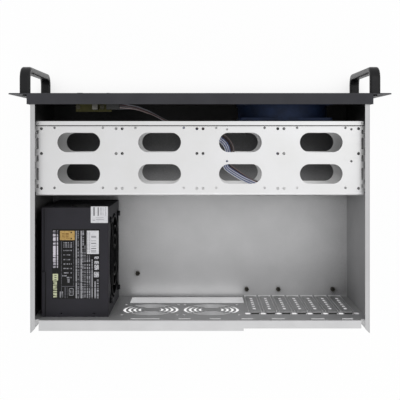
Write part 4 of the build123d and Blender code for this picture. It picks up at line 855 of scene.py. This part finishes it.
class SC_OT_fasteners(bpy.types.Operator):
    """Set rivet heads on the side walls, and dark crosses on the screw heads as painted shade in their drive
    recesses
    """

    bl_idname = "server_case.fasteners"
    bl_label = "Rivets and recesses"

    def execute(self, context):
        rivet_metal = plated_metal("aluminium_rivet", "#b9babc", "#a5a6a8", 0.34, 1.5)
        dark = moulded_plastic("recess_shadow", "#0a0a0a", "#101010", 0.6)
        tree, given = geometry_tree("set_on_points", (
            ("Piece", "NodeSocketObject", None), ("Turn", "NodeSocketVector", (0, 0, 0)),
            ("Material", "NodeSocketMaterial", None),
        ))
        shape = add_node(tree, "GeometryNodeObjectInfo", {"Object": given.outputs["Piece"]})
        placed = add_node(tree, "GeometryNodeInstanceOnPoints", {
            "Points": given.outputs["Geometry"], "Instance": shape.outputs["Geometry"],
            "Rotation": given.outputs["Turn"]})
        real = add_node(tree, "GeometryNodeRealizeInstances", {"Geometry": placed.outputs[0]})
        painted = add_node(tree, "GeometryNodeSetMaterial", {
            "Geometry": real.outputs[0], "Material": given.outputs["Material"]})
        add_node(tree, "NodeGroupOutput", {"Geometry": painted.outputs[0]})

        rivet = self.turned_head("rivet_head", 3.0, 1.0, 1.1)
        recess = self.cross_recess("cross_recess", 3.6, 0.9)
        quarter = math.pi / 2
        jobs = []
        for side, word in ((-1, "right"), (1, "left")):
            outwards = (0, side * quarter, 0)
            points = [place(side * 214.0, 292.5, z) for z in (22, 62, 102, 142)]
            jobs.append(("side_rivets_" + word, rivet, points, outwards, rivet_metal))
            heads = [place(side * 216.2, depth, z) for depth in (52.3, 112.3) for z in (68.0, 148.0)]
            jobs.append(("shelf_recesses_" + word, recess, heads, outwards, dark))
        rear = [place(x, 289.2, z) for x, z in ((123.5, 10), (197.5, 10), (133.5, 148), (197.5, 148))]
        jobs.append(("supply_screw_recesses", recess, rear, (-quarter, 0, 0), dark))
        ears = [place(x, 3.7, z) for x in (-222, 222) for z in (11.5, 165.5)]
        jobs.append(("handle_screw_recesses", recess, ears, (-quarter, 0, 0), dark))
        fan = [place(113.7, depth, z) for depth in (163.5, 268.5) for z in (26.5, 131.5)]
        jobs.append(("supply_fan_recesses", recess, fan, (0, -quarter, 0), dark))
        tabs = [place(x, 292.0, 128.2) for x in SLOT_XS]
        jobs.append(("slot_screw_recesses", recess, tabs, (0, 0, 0), dark))
        for name, shape, points, turn, material in jobs:
            mesh = mesh_from_tree(name, tree, {"Piece": shape, "Turn": turn, "Material": material}, points)
            as_piece(name, mesh)
        for shape in (rivet, recess):
            bpy.data.objects.remove(shape)
        return {"FINISHED"}

    def turned_head(self, name, radius, height, rim):
        """Low domed head that stands on its point, axis up."""
        bm = bmesh.new()
        profile = [(radius, 0), (radius, 0.25), (radius * 0.86, height * 0.72), (radius * 0.5, height),
                   (rim, height), (rim * 0.8, height * 0.55)]
        sides = 16
        turns = [2 * math.pi * i / sides for i in range(sides)]
        rings = []
        for reach, rise in profile:
            rings.append([
                bm.verts.new((mm(reach * math.cos(turn)), mm(reach * math.sin(turn)), mm(rise)))
                for turn in turns
            ])
        bm.faces.new(reversed(rings[0]))
        bm.faces.new(rings[-1])
        for low, high in zip(rings, rings[1:]):
            for i in range(sides):
                after = (i + 1) % sides
                bm.faces.new((low[i], low[after], high[after], high[i]))
        return self.as_tool(name, bm)

    def cross_recess(self, name, length, width):
        """Shallow cross that lies on a screw head."""
        bm = bmesh.new()
        a, b = length / 2, width / 2
        outline = [(a, b), (b, b), (b, a), (-b, a), (-b, b), (-a, b), (-a, -b), (-b, -b), (-b, -a), (b, -a),
                   (b, -b), (a, -b)]
        low = [bm.verts.new((mm(x), mm(y), mm(-0.2))) for x, y in outline]
        high = [bm.verts.new((mm(x), mm(y), mm(0.03))) for x, y in outline]
        bm.faces.new(high)
        bm.faces.new(reversed(low))
        for i in range(len(outline)):
            after = (i + 1) % len(outline)
            bm.faces.new((low[i], low[after], high[after], high[i]))
        return self.as_tool(name, bm)

    def as_tool(self, name, bm):
        """Object to set on points, removed once they are set."""
        bmesh.ops.recalc_face_normals(bm, faces=bm.faces)
        mesh = bpy.data.meshes.new(name)
        bm.to_mesh(mesh)
        bm.free()
        tool = bpy.data.objects.new(name, mesh)
        bpy.context.scene.collection.objects.link(tool)
        return tool


class SC_PT_panel(bpy.types.Panel):
    """Shows a button for each step that dresses the case"""

    bl_idname = "SC_PT_panel"
    bl_label = "Server Case"
    bl_space_type = "VIEW_3D"
    bl_region_type = "UI"
    bl_category = "Server Case"

    def draw(self, context):
        for operator in OPERATORS:
            self.layout.operator(operator.bl_idname)


OPERATORS = (
    SC_OT_camera, SC_OT_lead, SC_OT_finishes, SC_OT_labels, SC_OT_rims, SC_OT_guard, SC_OT_fasteners,
    SC_OT_studio,
)
GROUPS = {"server_case": SC_PG_case, "server_case_lead": SC_PG_lead, "server_case_studio": SC_PG_studio}


def register():
    for group in GROUPS.values():
        bpy.utils.register_class(group)
    for name, group in GROUPS.items():
        setattr(bpy.types.Scene, name, bpy.props.PointerProperty(type=group))
    for operator in OPERATORS:
        bpy.utils.register_class(operator)
    bpy.utils.register_class(SC_PT_panel)


def unregister():
    bpy.utils.unregister_class(SC_PT_panel)
    for operator in reversed(OPERATORS):
        bpy.utils.unregister_class(operator)
    for name in GROUPS:
        delattr(bpy.types.Scene, name)
    for group in reversed(list(GROUPS.values())):
        bpy.utils.unregister_class(group)


def main():
    register()
    for operator in OPERATORS:
        family, call = operator.bl_idname.split(".")
        getattr(getattr(bpy.ops, family), call)()


if __name__ == "__main__":
    main()
